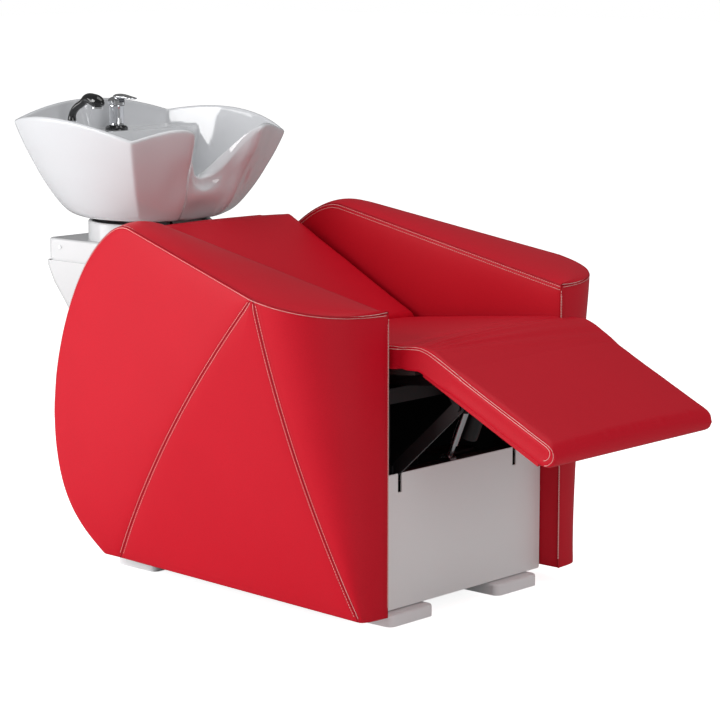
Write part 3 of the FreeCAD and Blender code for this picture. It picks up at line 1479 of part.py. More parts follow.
def basin_levels(wall, floor, top):
    """Outlines from a round foot up to the rim, each corner moving out along a measured curve."""
    front, rear = float(FRONT + S.basin_front_y) + wall, float(FRONT + S.basin_rear_y) - wall
    half = float(S.basin_half_width) - wall
    rim, base = float(S.basin_rear_rim_z), float(S.basin_base_z)
    foot = (float(S.basin_foot_radius) - wall) * math.sqrt(0.5)
    foot_bow = float(S.basin_foot_radius) - wall - foot
    centre = float(CENTRE_Y)
    bows = [float(bow) for bow in (S.basin_front_bow, S.basin_side_bow, S.basin_rear_bow)]
    wires = []
    level_shares = ((0.0, 1.0), (0.035, 0.83), (0.08, 0.71), (0.22, 0.49), (0.41, 0.33), (0.62, 0.17),
                    (0.82, 0.035), (1.0, 0.0))
    for height_share, foot_share in level_shares:
        rim_share = 1 - foot_share
        z = floor + height_share * (rim - floor)
        front_bow, side_bow, rear_bow = [foot_bow * foot_share + bow * rim_share for bow in bows]
        wires.append(basin_outline(z, foot * foot_share + half * rim_share,
                                   (centre - foot) * foot_share + front * rim_share,
                                   (centre + foot) * foot_share + rear * rim_share,
                                   front_bow, side_bow, rear_bow))
    wires.append(basin_outline(top, half, front, rear, *bows))
    return wires


def above_rim():
    """Everything above the arched rim, as a solid stepped from front to rear."""
    front, rear = float(FRONT + S.basin_front_y), float(FRONT + S.basin_rear_y)
    half = float(S.basin_half_width + S.basin_side_bow)
    wide = half + float(S.overrun)
    low, high = float(S.basin_front_rim_z), float(S.basin_rear_rim_z)
    top = high + float(S.basin_rear_arch) + float(S.overrun)
    wires = []
    step_shares = (-0.25, 0.0, 0.25, 0.5, 0.75, 1.0, 1.15)
    for share in step_shares:
        held = min(max(share, 0.0), 1.0)
        y = front + share * (rear - front)
        side = low + held * (high - low) + 4 * held * (1 - held) * float(S.basin_side_arch)
        arch = (1 - held) * float(S.basin_front_arch) + held * float(S.basin_rear_arch)
        stretch = (wide / half) ** 2
        edge = side + arch * (1 - stretch)
        wires.append(Part.Wire([arc(Vector(-wide, y, edge), Vector(0, y, side + arch), Vector(wide, y, edge)),
                                line(Vector(wide, y, edge), Vector(wide, y, top)),
                                line(Vector(wide, y, top), Vector(-wide, y, top)),
                                line(Vector(-wide, y, top), Vector(-wide, y, edge))]))
    return Part.makeLoft(wires, True, False)


def neck_tool():
    """A round-bottomed channel, flared at its mouth, that opens the front wall for the neck."""
    half, flare = float(S.neck_half_width), float(S.neck_flare)
    bottom, mouth = float(S.neck_bottom_z), float(S.neck_flare_z)
    centre = bottom + half
    top = float(S.basin_rear_rim_z + S.basin_rear_arch + S.overrun)
    y = float(FRONT + S.basin_front_y - S.basin_front_bow - S.overrun)
    end = float(FRONT + S.neck_back_y)
    rim = mouth + flare
    turn_share = math.sqrt(0.5)
    edges = [arc(Vector(-half, y, centre), Vector(0, y, bottom), Vector(half, y, centre)),
             line(Vector(half, y, centre), Vector(half, y, mouth)),
             arc(Vector(half, y, mouth), Vector(half + flare * (1 - turn_share), y,
                                                mouth + flare * turn_share),
                 Vector(half + flare, y, rim)),
             line(Vector(half + flare, y, rim), Vector(half + flare, y, top)),
             line(Vector(half + flare, y, top), Vector(-half - flare, y, top)),
             line(Vector(-half - flare, y, top), Vector(-half - flare, y, rim)),
             arc(Vector(-half - flare, y, rim), Vector(-half - flare * (1 - turn_share), y,
                                                       mouth + flare * turn_share),
                 Vector(-half, y, mouth)),
             line(Vector(-half, y, mouth), Vector(-half, y, centre))]
    return Part.Face(Part.Wire(edges)).extrude(Vector(0, end - y, 0))


def basin():
    top = float(S.basin_rear_rim_z + S.basin_rear_arch + S.overrun)
    wall = float(S.basin_wall)
    base = float(S.basin_base_z)
    outside = Part.makeLoft(basin_levels(0.0, base, top), True, False)
    inside = Part.makeLoft(basin_levels(wall, float(S.basin_floor_z), top), True, False)
    deck_y = float(FRONT + S.deck_front_y)
    wide = float(S.basin_half_width) * 2
    deck_low = base - float(S.overrun)
    deck_high = float(S.deck_z)
    shelf = Part.makeBox(wide * 2, wide, deck_high - deck_low, Vector(-wide, deck_y, deck_low))
    hollow = inside.cut(shelf)
    shape = outside.cut(above_rim()).cut(hollow).cut(neck_tool())
    drain = Part.makeCylinder(float(S.basin_drain_radius), wide, Vector(0, float(CENTRE_Y), deck_low))
    seat_radius = float(S.strainer_radius + S.strainer_clearance)
    recess = Part.makeCylinder(seat_radius, wide,
                               Vector(0, float(CENTRE_Y), float(S.basin_floor_z - S.strainer_thickness)))
    shape = shape.cut(drain).cut(recess)
    under_room = Part.makeBox(wide * 2, wide, deck_high - float(S.deck_wall) - deck_low,
                              Vector(-wide, deck_y + float(S.deck_wall), deck_low))
    inner_room = Part.makeLoft(basin_levels(wall, base + wall, top), True, False)
    shape = shape.cut(under_room.common(inner_room))
    tap_y = float(FRONT + S.tap_y)
    for x, radius in ((float(S.mixer_x), float(S.mixer_shank_radius)),
                      (float(S.handset_x), float(S.handset_stem_radius + S.handset_fit + S.socket_wall))):
        shape = shape.cut(Part.makeCylinder(radius, wide, Vector(x, tap_y, deck_high - float(S.deck_wall)
                                                                 - float(S.overrun))))
    return shape_piece("basin", shape)


basin()


# Waste: a perforated strainer in the bowl, a tail pipe through the foot and its nut.

def waste():
    plate = Plate("waste_strainer", "z")
    sketch = plate.circle((MIDDLE, MIDDLE), S.strainer_radius)
    plate.pad(sketch, S.strainer_thickness)
    place(plate.body, (MIDDLE, CENTRE_Y, S.basin_floor_z - S.strainer_thickness))
    holes = []
    rings = ((1, 6, 0.0), (2, 12, 0.0))
    for ring, count, start in rings:
        for n in range(count):
            angle = 2 * math.pi * n / count + start
            holes.append(rod("strainer_hole_%d_%d" % (ring, n),
                             (S.strainer_hole_ring * (ring * math.cos(angle)),
                              CENTRE_Y + S.strainer_hole_ring * (ring * math.sin(angle)),
                              S.basin_floor_z - S.strainer_thickness - S.overrun),
                             S.strainer_hole_radius, S.overrun * 2 + S.strainer_thickness))
    keep("waste_strainer", cut("waste_strainer_holed", plate.body, *holes))
    top = S.basin_floor_z - S.strainer_thickness
    bottom = S.basin_base_z - S.tail_drop
    nut = S.basin_base_z - bottom
    bore = S.tail_radius - S.tail_wall
    turned("waste_tail", [(bore, FLOOR), (S.tail_radius, FLOOR), (S.tail_radius, nut - S.tail_nut_height),
                          (S.tail_nut_radius, nut - S.tail_nut_height), (S.tail_nut_radius, nut),
                          (S.tail_radius, nut), (S.tail_radius, top - bottom), (bore, top - bottom)],
           (MIDDLE, CENTRE_Y, bottom))


waste()


# Tap: a base ring, a round mixer body, a cap that swings and a lever that lifts.

TAP_Y = FRONT + S.tap_y


MIXER_TOP = S.deck_z + S.mixer_height
LEVER_PIN_Z = MIXER_TOP + S.lever_pin_rise


def mixer():
    ring_top = S.mixer_ring_height
    turned("mixer_ring", [(S.mixer_shank_radius, FLOOR), (S.mixer_ring_radius, FLOOR),
                          (S.mixer_ring_radius, ring_top / 2), (S.mixer_ring_radius - ring_top / 2, ring_top),
                          (S.mixer_shank_radius, ring_top)], (S.mixer_x, TAP_Y, S.deck_z))
    height = S.mixer_height
    shank = -S.mixer_shank_length
    turned("mixer_body", [(MIDDLE, shank), (S.mixer_shank_radius, shank), (S.mixer_shank_radius, ring_top),
                          (S.mixer_radius, ring_top), (S.mixer_radius, height / 3),
                          (S.mixer_waist_radius, height / 2), (S.mixer_radius, height * 5 / 6),
                          (S.mixer_radius, height), (MIDDLE, height)], (S.mixer_x, TAP_Y, S.deck_z))
    cap_z = MIXER_TOP + S.cap_gap / 10
    profile = [(MIDDLE, FLOOR), (S.cap_radius, FLOOR), (S.cap_radius, S.cap_height / 2),
               (S.cap_radius * 0.86, S.cap_height * 0.8), (S.cap_radius * 0.5, S.cap_height), (MIDDLE,
                                                                                               S.cap_height)]
    blank = Plate("cap_blank", "y")
    blank.revolve(blank.outline(profile))
    place(blank.body, (S.mixer_x, TAP_Y, cap_z))
    slot = box("cap_slot", (S.mixer_x - S.cap_slot_half_width, TAP_Y - S.cap_radius - S.overrun,
                            cap_z + S.cap_floor),
               (S.cap_slot_half_width * 2, S.cap_radius + S.overrun + S.lever_hub_radius + S.cap_gap,
                S.cap_height + S.overrun))
    hole = rod("cap_pin_hole", (S.mixer_x - S.lever_pin_reach, TAP_Y, LEVER_PIN_Z),
               S.lever_pin_radius + S.pin_clearance, S.lever_pin_reach * 2, "x")
    keep("mixer_cap", cut("mixer_cap", blank.body, slot, hole))


mixer()


def lever():
    """A paddle that widens towards its tip, lofted from sections along the lever."""
    x, y, z = float(S.mixer_x), float(TAP_Y), float(LEVER_PIN_Z)
    root, tip = float(S.lever_half_width), float(S.lever_tip_half_width)
    thick, length, rise = float(S.lever_thickness), float(S.lever_length), float(S.lever_rise)
    wires = []
    for along_share, wide_share, up_share, thick_share in ((0.0, 0.0, 0.0, 1.2), (0.3, 0.0, 0.55, 1.2),
                                                           (0.55, 0.6, 1.0, 0.95), (0.85, 1.0, 0.9, 0.6),
                                                           (1.0, 0.7, 0.7, 0.35)):
        half = root + (tip - root) * wide_share
        back = y - length * along_share
        mid = z + rise * up_share
        low, high = mid - thick * thick_share / 2, mid + thick * thick_share / 2
        crown = thick * thick_share * 0.25
        wires.append(Part.Wire([line(Vector(x - half, back, low), Vector(x + half, back, low)),
                                line(Vector(x + half, back, low), Vector(x + half, back, high)),
                                arc(Vector(x + half, back, high), Vector(x, back, high + crown),
                                    Vector(x - half, back, high)),
                                line(Vector(x - half, back, high), Vector(x - half, back, low))]))
    paddle = Part.makeLoft(wires, True, True)
    hub = Part.makeCylinder(float(S.lever_hub_radius), root * 2, Vector(x - root, y, z), Vector(1, 0, 0))
    reach = float(S.lever_pin_reach - S.pin_clearance * 2)
    pin = Part.makeCylinder(float(S.lever_pin_radius), reach * 2, Vector(x - reach, y, z), Vector(1, 0, 0))
    return shape_piece("mixer_lever", paddle.fuse(hub).fuse(pin))


lever()


# Handset: a socket in the deck, a chrome collar, a curved grip and a spray plate.

def handset():
    bore = S.handset_stem_radius + S.handset_fit
    sleeve = bore + S.socket_wall
    turned("handset_socket", [(bore, -S.socket_shank), (sleeve, -S.socket_shank), (sleeve, FLOOR),
                              (S.socket_radius, FLOOR), (S.socket_radius, S.socket_height / 2),
                              (sleeve, S.socket_height), (bore, S.socket_height)],
           (S.handset_x, TAP_Y, S.deck_z))
    seat = S.deck_z + S.socket_height + S.soft_gap / 4
    turned("handset_collar", [(MIDDLE, -S.handset_stem_depth), (S.handset_stem_radius, -S.handset_stem_depth),
                              (S.handset_stem_radius, FLOOR), (S.handset_collar_radius, FLOOR),
                              (S.handset_collar_radius, S.handset_collar_height), (MIDDLE,
                                                                                   S.handset_collar_height)],
           (S.handset_x, TAP_Y, seat))
    start = Vector(float(S.handset_x), float(TAP_Y), float(seat + S.handset_collar_height))
    rise, reach = float(S.handset_rise), float(S.handset_reach)
    neck, thick = float(S.handset_neck_radius), float(S.handset_collar_radius)
    head, nose = float(S.handset_head_radius), float(S.handset_head_reach)
    drop = float(S.handset_head_drop)
    stations = ((0.0, 0.0, 0, thick), (0.16, 0.42, 38, thick), (0.45, 0.80, 62, neck), (0.78, 0.98, 82, neck),
                (1.0, 1.0, 96, head * 0.93))
    circles = []
    for reach_share, rise_share, lean_degrees, radius in stations:
        centre = start + Vector(0, -reach * reach_share, rise * rise_share)
        lean_angle = math.radians(lean_degrees)
        circles.append(Part.Wire(Part.makeCircle(radius, centre,
                                                 Vector(0, -math.sin(lean_angle), math.cos(lean_angle)))))
    end = start + Vector(0, -reach, rise)
    for forward_share, drop_share, lean_degrees, radius_share in ((0.5, 0.3, 104, 1.0), (0.85, 0.8, 112, 0.8),
                                                                  (1.0, 1.0, 116, 0.45)):
        centre = end + Vector(0, -nose * forward_share, -drop * drop_share)
        lean_angle = math.radians(lean_degrees)
        circles.append(Part.Wire(Part.makeCircle(head * radius_share, centre,
                                                 Vector(0, -math.sin(lean_angle), math.cos(lean_angle)))))
    grip = Part.makeLoft(circles, True, False)
    plate_y = end.y - nose * 0.3
    plate_z = end.z - float(S.spray_below)
    flat = Part.makeBox(head * 4, head * 4, head * 2, Vector(end.x - head * 2, plate_y - head * 2,
                                                             plate_z - head * 2))
    grip = grip.cut(flat)
    shape_piece("handset_grip", grip)
    spray = rod("spray_plate", (S.handset_x, Size(plate_y, repr(plate_y)),
                                Size(plate_z, repr(plate_z)) - S.spray_thickness),
                S.spray_radius, S.spray_thickness)
    keep("spray_plate", spray)


handset()


# Services: two water inlets, the waste outlet and a mains inlet at the pedestal's foot.

SHAFT_REAR = FRONT + S.pedestal_shaft_y


def services():
    inlets = []
    for side, sign in SIDES:
        x = sign * S.inlet_spacing / 2
        flange = rod("inlet_flange_%s" % side, (x, SHAFT_REAR, S.inlet_z), S.inlet_flange_radius,
                     S.inlet_flange_length, "y")
        stub = rod("inlet_stub_%s" % side, (x, SHAFT_REAR, S.inlet_z), S.inlet_radius, S.inlet_length, "y")
        bore = rod("inlet_bore_%s" % side, (x, SHAFT_REAR + S.inlet_flange_length, S.inlet_z), S.inlet_bore,
                   S.inlet_length, "y")
        inlets.append(cut("water_inlet_%s" % side, fuse("inlet_blank_%s" % side, flange, stub), bore))
    keep("water_inlets", fuse("water_inlets", *inlets))
    pipe = rod("waste_pipe", (MIDDLE, SHAFT_REAR, S.waste_z), S.waste_radius, S.waste_length, "y")
    pipe_bore = rod("waste_pipe_bore", (MIDDLE, SHAFT_REAR + S.inlet_flange_length, S.waste_z), S.waste_bore,
                    S.waste_length, "y")
    keep("waste_outlet", cut("waste_outlet", pipe, pipe_bore))
    half = S.socket_box_width / 2
    block = box("mains_block", (-half, SHAFT_REAR, S.socket_box_z),
                (half * 2, S.socket_box_depth, S.socket_box_height))
    recess = box("mains_recess", (-half + S.socket_margin, SHAFT_REAR + S.socket_box_depth - S.socket_recess,
                                  S.socket_box_z + S.socket_margin),
                 (half * 2 - S.socket_margin * 2, S.socket_recess + S.overrun,
                  S.socket_box_height - S.socket_margin * 2))
    keep("mains_inlet", cut("mains_inlet", block, recess))


services()


# Switch: a bezel on the back of the pedestal head with a rocker that moves the legrest.

def switch():
    rear = FRONT + S.head_rear_y
    half = S.bezel_width / 2
    low = S.bezel_z - S.bezel_height / 2
    frame = box("bezel_block", (-half, rear, low), (half * 2, S.bezel_depth, S.bezel_height))
    margin = S.bezel_margin
    window = box("bezel_window", (-half + margin, rear - S.overrun, low + margin),
                 (half * 2 - margin * 2, S.bezel_depth + S.overrun * 2, S.bezel_height - margin * 2))
    keep("switch_bezel", cut("switch_bezel", frame, window))
    gap = S.rocker_gap
    inner_half = half - margin - gap
    inner_low = low + margin + gap
    height = S.bezel_height - margin * 2 - gap * 2
    floor_y = rear + gap
    plate = Plate("switch_rocker", "x")
    sketch = plate.outline([(floor_y + S.rocker_crown / 2, inner_low), (floor_y + S.rocker_depth, inner_low),
                            (floor_y + S.rocker_depth - S.rocker_crown / 2, inner_low + height / 2),
                            (floor_y + S.rocker_depth, inner_low + height), (floor_y + S.rocker_crown / 2,
                                                                             inner_low + height),
                            (floor_y, inner_low + height / 2)])
    plate.pad(sketch, inner_half * 2)
    plate.done("switch_rocker", (-inner_half, MIDDLE, FLOOR))


switch()


# Every object has to be sound before a file is written.

doc.recompute()
broken = [thing.Name for thing in doc.Objects if "Invalid" in thing.State or "Error" in thing.State]
if broken:
    raise RuntimeError("did not compute: " + ", ".join(broken))
for node, piece in PIECES.items():
    if piece.Shape.isNull() or not piece.Shape.isValid() or not piece.Shape.Solids:
        raise RuntimeError("%s has no sound shape" % node)

os.makedirs("parts", exist_ok=True)
rooms = []
for node, piece in PIECES.items():
    piece.Shape.exportStep("parts/%s.step" % node)
    room = piece.Shape.optimalBoundingBox(True)
    print("%-28s %2d solids  X %8.1f %8.1f  Y %8.1f %8.1f  Z %7.1f %7.1f" % (
        node, len(piece.Shape.Solids), room.XMin, room.XMax, room.YMin, room.YMax, room.ZMin, room.ZMax))
    rooms.append(room)
low = [min(getattr(room, edge) for room in rooms) for edge in ("XMin", "YMin", "ZMin")]
high = [max(getattr(room, edge) for room in rooms) for edge in ("XMax", "YMax", "ZMax")]
print("%d nodes, whole box %s %s" % (len(PIECES), low, high))
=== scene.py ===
import math

import bmesh
import bpy
import numpy as np
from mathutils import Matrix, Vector
from mathutils.bvhtree import BVHTree


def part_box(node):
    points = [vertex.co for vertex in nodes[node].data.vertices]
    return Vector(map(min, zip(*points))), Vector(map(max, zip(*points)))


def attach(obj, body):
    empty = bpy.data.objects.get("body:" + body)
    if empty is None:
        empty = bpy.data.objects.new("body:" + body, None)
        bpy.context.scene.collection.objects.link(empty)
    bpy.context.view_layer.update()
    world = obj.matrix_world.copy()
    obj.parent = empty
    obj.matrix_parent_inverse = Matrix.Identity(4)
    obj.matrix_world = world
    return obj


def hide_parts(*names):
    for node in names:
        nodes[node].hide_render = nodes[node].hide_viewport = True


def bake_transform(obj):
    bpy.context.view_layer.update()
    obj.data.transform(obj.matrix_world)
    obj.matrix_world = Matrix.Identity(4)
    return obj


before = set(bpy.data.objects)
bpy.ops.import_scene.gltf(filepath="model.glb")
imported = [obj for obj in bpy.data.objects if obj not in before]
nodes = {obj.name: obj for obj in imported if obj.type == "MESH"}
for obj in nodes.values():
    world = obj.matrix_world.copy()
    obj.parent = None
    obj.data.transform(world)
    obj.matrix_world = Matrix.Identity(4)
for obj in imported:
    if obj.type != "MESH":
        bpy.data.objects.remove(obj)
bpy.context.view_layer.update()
# The panels' front edges are the origin that every length along the bed is measured from.
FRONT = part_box("side_panel_left_upholstery")[0].y


# ---------------------------------------------------------------- floor, light and camera
# A plain pale studio floor. One large soft box stands to the left of the near panel, a second
# one is above the seat, and a weak one fills the front, so the facets differ in brightness.

class Field:
    """One output of a material's node tree, with plain arithmetic written on it."""

    def __init__(self, finish, socket):
        self.finish = finish
        self.socket = socket

    def apply(self, kind, *values):
        return self.finish.node("ShaderNodeMath", {"operation": kind}, dict(enumerate(values)))

    def __add__(self, other):
        return self.apply("ADD", self, other)

    def __sub__(self, other):
        return self.apply("SUBTRACT", self, other)

    def __mul__(self, other):
        return self.apply("MULTIPLY", self, other)

    def __pow__(self, other):
        return self.apply("POWER", self, other)

    __radd__ = __add__

    def ramp(self, low, high):
        """A smooth step from nought at low to one at high."""
        return self.finish.node("ShaderNodeMapRange", {"interpolation_type": "SMOOTHSTEP"},
                                {"Value": self, "From Min": low, "From Max": high})

    def bell(self, width):
        """One where the value is nought, falling to nothing over about two widths."""
        squared = (self * (1.0 / width)) ** 2.0
        return self.apply("EXPONENT", squared * -1.0)


class Finish:
    """A material: its node tree, its surface shader, and one way of adding any other node.

    The named values are the same all over the surface and go straight onto the shader.
    """

    def __init__(self, name, **uniform):
        self.material = bpy.data.materials.new(name)
        self.material.use_nodes = True
        self.tree = self.material.node_tree
        self.shader = self.tree.nodes["Principled BSDF"]
        for key, value in uniform.items():
            self.shader.inputs[key.replace("_", " ")].default_value = value
        self.place = self.node("ShaderNodeTexCoord", {}, {}, "Object")

    def node(self, kind, settings, inputs, output=0):
        made = self.tree.nodes.new(kind)
        for key, value in settings.items():
            setattr(made, key, value)
        for key, value in inputs.items():
            if isinstance(value, Field):
                self.tree.links.new(value.socket, made.inputs[key])
            else:
                made.inputs[key].default_value = value
        return Field(self, made.outputs[output])

    def drive(self, name, field):
        self.tree.links.new(field.socket, self.shader.inputs[name])

    def noise(self, scale, detail=2.0, rough=0.5):
        return self.node("ShaderNodeTexNoise", {}, {"Vector": self.place, "Scale": scale,
                                                    "Detail": detail, "Roughness": rough})

    def mix(self, amount, low, high):
        """A colour between low and high."""
        return self.node("ShaderNodeMix", {"data_type": "RGBA"}, {0: amount, 6: low, 7: high}, 2)

    def attribute(self, name):
        return self.node("ShaderNodeAttribute", {"attribute_name": name}, {}, "Fac")

    def relief(self, height):
        """Bumps whose height is in metres."""
        bump = self.node("ShaderNodeBump", {}, {"Height": height, "Distance": 1.0, "Strength": 1.0})
        self.drive("Normal", bump)


def placed(name, data):
    """A new object in the scene that shows a mesh, a light or a camera."""
    made = bpy.data.objects.new(name, data)
    bpy.context.scene.collection.objects.link(made)
    return made


def grid_mesh(name, points, wrap_rows=False, wrap_columns=False):
    """A surface through an array of points, rows by columns by three.

    The face between rows i, i+1 and columns j, j+1 joins the four points there, and a
    wrapped direction joins its last line to its first.
    """
    rows, columns = points.shape[:2]
    row = np.arange(rows if wrap_rows else rows - 1)
    column = np.arange(columns if wrap_columns else columns - 1)
    i, j = np.meshgrid(row, column, indexing="ij")
    down, across = (i + 1) % rows, (j + 1) % columns
    faces = np.stack([i * columns + j, i * columns + across, down * columns + across,
                      down * columns + j], -1).reshape(-1, 4)
    return numpy_mesh(name, points.reshape(-1, 3), faces)


def numpy_mesh(name, points, faces):
    """A mesh object from arrays of points and of faces with the same number of corners."""
    corners = faces.shape[1]
    mesh = bpy.data.meshes.new(name)
    mesh.vertices.add(len(points))
    mesh.vertices.foreach_set("co", np.ascontiguousarray(points, np.float32).ravel())
    mesh.loops.add(faces.size)
    mesh.loops.foreach_set("vertex_index", np.ascontiguousarray(faces, np.int32).ravel())
    mesh.polygons.add(len(faces))
    mesh.polygons.foreach_set("loop_start", np.arange(len(faces), dtype=np.int32) * corners)
    mesh.update(calc_edges=True)
    mesh.validate()
    mesh.shade_smooth()
    return placed(name, mesh)


WHITE = (1.0, 1.0, 1.0, 1.0)
FLOOR_HALF = 30.0
FLOOR_Z = -0.0005
FLOOR_GREY = 0.86
FLOOR_LIFT = 0.86
MIRRORED_SHARE = 0.75
MIRRORED_GLOW = 0.20


def floor_finish(name):
    """A matt surface that a straight look sees brighter, and a mirror calmer, than it is lit."""
    grey = (FLOOR_GREY, FLOOR_GREY, FLOOR_GREY, 1.0)
    finish = Finish(name, Base_Color=grey, Roughness=0.9, Specular_IOR_Level=0.1)

    def glow(strength):
        return finish.node("ShaderNodeEmission", {}, {"Color": WHITE, "Strength": strength})

    straight = finish.node("ShaderNodeLightPath", {}, {}, "Is Camera Ray")
    rays = straight.socket.node.outputs
    seen = straight.apply("MAXIMUM", straight, Field(finish, rays["Is Transmission Ray"]))
    lit = Field(finish, finish.shader.outputs[0])
    lifted = finish.node("ShaderNodeAddShader", {}, {0: lit, 1: glow(seen * FLOOR_LIFT)})
    mirrored = Field(finish, rays["Is Glossy Ray"]) * MIRRORED_SHARE
    both = finish.node("ShaderNodeMixShader", {}, {0: mirrored, 1: lifted, 2: glow(MIRRORED_GLOW)})
    finish.tree.links.new(both.socket, finish.tree.nodes["Material Output"].inputs["Surface"])
    return finish.material


span = np.linspace(-FLOOR_HALF, FLOOR_HALF, 3)
floor_x, floor_y = np.meshgrid(span, span, indexing="ij")
floor = grid_mesh("studio_floor", np.stack([floor_y, floor_x, floor_x * 0 + FLOOR_Z], -1)[::-1])
floor.data.materials.append(floor_finish("studio_floor_paint"))

world = bpy.data.worlds.new("studio_air")
bpy.context.scene.world = world
world.use_nodes = True
sky = world.node_tree
path = sky.nodes.new("ShaderNodeLightPath")
strength = None
for output, level, base in (("Is Glossy Ray", 0.16, 0.32), ("Is Camera Ray", 1.0, None),
                            ("Is Transmission Ray", 1.0, None)):
    choice = sky.nodes.new("ShaderNodeMix")
    sky.links.new(path.outputs[output], choice.inputs[0])
    if base is None:
        sky.links.new(strength, choice.inputs[2])
    else:
        choice.inputs[2].default_value = base
    choice.inputs[3].default_value = level
    strength = choice.outputs[0]
sky.nodes["Background"].inputs["Color"].default_value = WHITE
sky.links.new(strength, sky.nodes["Background"].inputs["Strength"])


def soft_box(name, place, target, size, watts):
    """A square area light at place that faces target."""
    light = bpy.data.lights.new(name, "AREA")
    light.shape, light.size, light.energy = "SQUARE", size, watts
    lamp = placed(name, light)
    lamp.location = place
    way = np.array(target, float) - np.array(place, float)
    lamp.rotation_euler = (math.acos(-way[2] / np.linalg.norm(way)), 0.0,
                           math.atan2(way[1], way[0]) - math.pi / 2)


soft_box("box_left", (-4.2, 2.2, 2.0), (0.0, 0.0, 0.4), 2.8, 166.0)
soft_box("box_low_rear", (-2.9, 3.7, 0.95), (-0.3, 0.2, 0.4), 1.9, 34.0)
soft_box("box_above", (0.4, -0.6, 4.2), (0.0, 0.0, 0.4), 2.8, 45.0)
soft_box("box_front", (-1.4, -5.0, 1.8), (0.0, 0.0, 0.5), 2.2, 46.0)

lens = bpy.data.cameras.new("studio_camera")
lens.lens, lens.sensor_width, lens.clip_end = 128.65, 36.0, 60.0
camera = placed("studio_camera", lens)
camera.location = (-3.788, -3.48185, 1.296)
camera.rotation_euler = (math.radians(80.689), 0.0, math.radians(-47.892))
bpy.context.scene.camera = camera
bpy.context.scene.view_settings.view_transform = "Standard"


# ---------------------------------------------------------------- side panels
# Two wooden boxes padded with foam under red imitation leather, screwed to the posts. Three
# pieces of hide meet at the outside: a rounded front, a triangle and a rear facet, with a
# band over the top. Every seam is turned in and top-stitched with pale thread on both sides.

def hide(name, seamed=True):
    """Red imitation leather: satin, with a fine pebble grain, and pressed in along its seams.

    Inside below the seat, a panel's inner face is painted near black, and the hide is darkened broadly
    beside each seam: both painted shade.
    """
    finish = Finish(name, Metallic=0.0, Specular_IOR_Level=0.22, IOR=1.46)
    cloud = finish.noise(3.5, 4.0, 0.55)
    drift = finish.noise(0.9)
    pebble = finish.node("ShaderNodeTexVoronoi", {"feature": "SMOOTH_F1"},
                         {"Vector": finish.place, "Scale": 640.0, "Smoothness": 0.6})
    pores = finish.noise(1900.0)
    shade = finish.mix(cloud.ramp(0.3, 0.7), (0.580, 0.0032, 0.0170, 1.0),
                       (0.605, 0.0042, 0.0190, 1.0))
    layers = [(drift.ramp(0.35, 0.7) * 0.35, (0.565, 0.0032, 0.0160, 1.0)),
              (pebble.ramp(0.35, 0.75) * 0.16, (0.330, 0.0035, 0.0100, 1.0))]
    height = cloud * 0.0005 - pebble * 0.000050 + pores * 0.000012
    if seamed:
        seam = finish.attribute("seam")
        # Beside each seam: a narrow dark line at the joint, and a broad darkening about 7.5 mm to each
        # side that is painted shade.
        layers += [(seam.bell(0.0011) * 0.75, (0.150, 0.0020, 0.0060, 1.0)),
                   (seam.bell(0.0075) * 0.18, (0.260, 0.0030, 0.0090, 1.0)),
                   # inside below the seat the hide is painted near black: painted shade
                   (finish.attribute("painted_shade").ramp(0.4, 0.6), (0.005, 0.005, 0.006, 1.0))]
        height = height - seam.bell(0.0016) * 0.0011 - (seam - SEAM_STEP).bell(0.0012) * 0.00045
    for amount, colour in layers:
        shade = finish.mix(amount, shade, colour)
    finish.drive("Base Color", shade)
    finish.drive("Roughness", 0.455 + cloud * 0.07 - pebble * 0.05)
    finish.relief(height)
    return finish.material


# Lengths in metres. SEAM_STEP and SEAM_SHOULDER are the two close lines beside a seam, FULLNESS
# is the power that makes the front's quarter rounder, and a bowed seam is given by its distance
# from the front below, the same at the apex, and its bow. SLANT is how much further a point is
# from a slanting seam along a level line than straight across. The caps keep the close lines
# within a share of a narrow facet.
PANEL_INNER = 0.260
# Bounds of the inside below the seat, where a panel's inner face is painted near black: painted shade.
PAINTED_SHADE_TOP = 0.430
PAINTED_SHADE_GAP = 0.02
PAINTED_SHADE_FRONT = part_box("front_panel")[1].y - FRONT + PAINTED_SHADE_GAP
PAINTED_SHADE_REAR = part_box("rear_panel")[0].y - FRONT - PAINTED_SHADE_GAP
PAINTED_SHADE_OUT = 0.012
PANEL_BOTTOM = 0.031
APEX_Z = 0.644
TOP_FRONT_Z, TOP_RISE, TOP_END = 0.612, 0.122, 0.600
BOTTOM_END = 0.776
RIDGE = (0.015, 0.157, 0.028)
REAR_SEAM = (0.726, 0.159, 0.038)
REAR_OUT, REAR_OUT_AT = 0.013, 0.960
TRIANGLE_OUT, TRIANGLE_TAPER, TRIANGLE_LEAN = 0.070, 0.07314, 0.23391
SEAM_STEP = 0.0042
SEAM_SHOULDER = 0.0105
FULLNESS = 0.82
SLANT = 1.25
FRONT_CAP, TRIANGLE_CAP, ROW_CAP = 0.45, 0.42, 0.3
ROWS = 58
outline_points = [(TOP_END, 0.734), (0.700, 0.706), (0.825, 0.585), (0.922, 0.300),
                  (0.880, 0.131), (0.832, 0.076), (BOTTOM_END, PANEL_BOTTOM)]
seamed_hide = hide("upholstery_red_seamed")
plain_hide = hide("upholstery_red_plain", seamed=False)


def distances(path):
    """How far along a path each of its points lies."""
    return np.concatenate([[0.0], np.cumsum(np.linalg.norm(np.diff(path, axis=0), axis=1))])


def path_at(path, far, where):
    """The places on a path at some distances along it, where far is that of each point."""
    return np.stack([np.interp(where, far, column) for column in path.T], -1)


def unit(way):
    """A way, or an array of ways, made one long."""
    return np.asarray(way, float) / np.linalg.norm(way, axis=-1, keepdims=True)


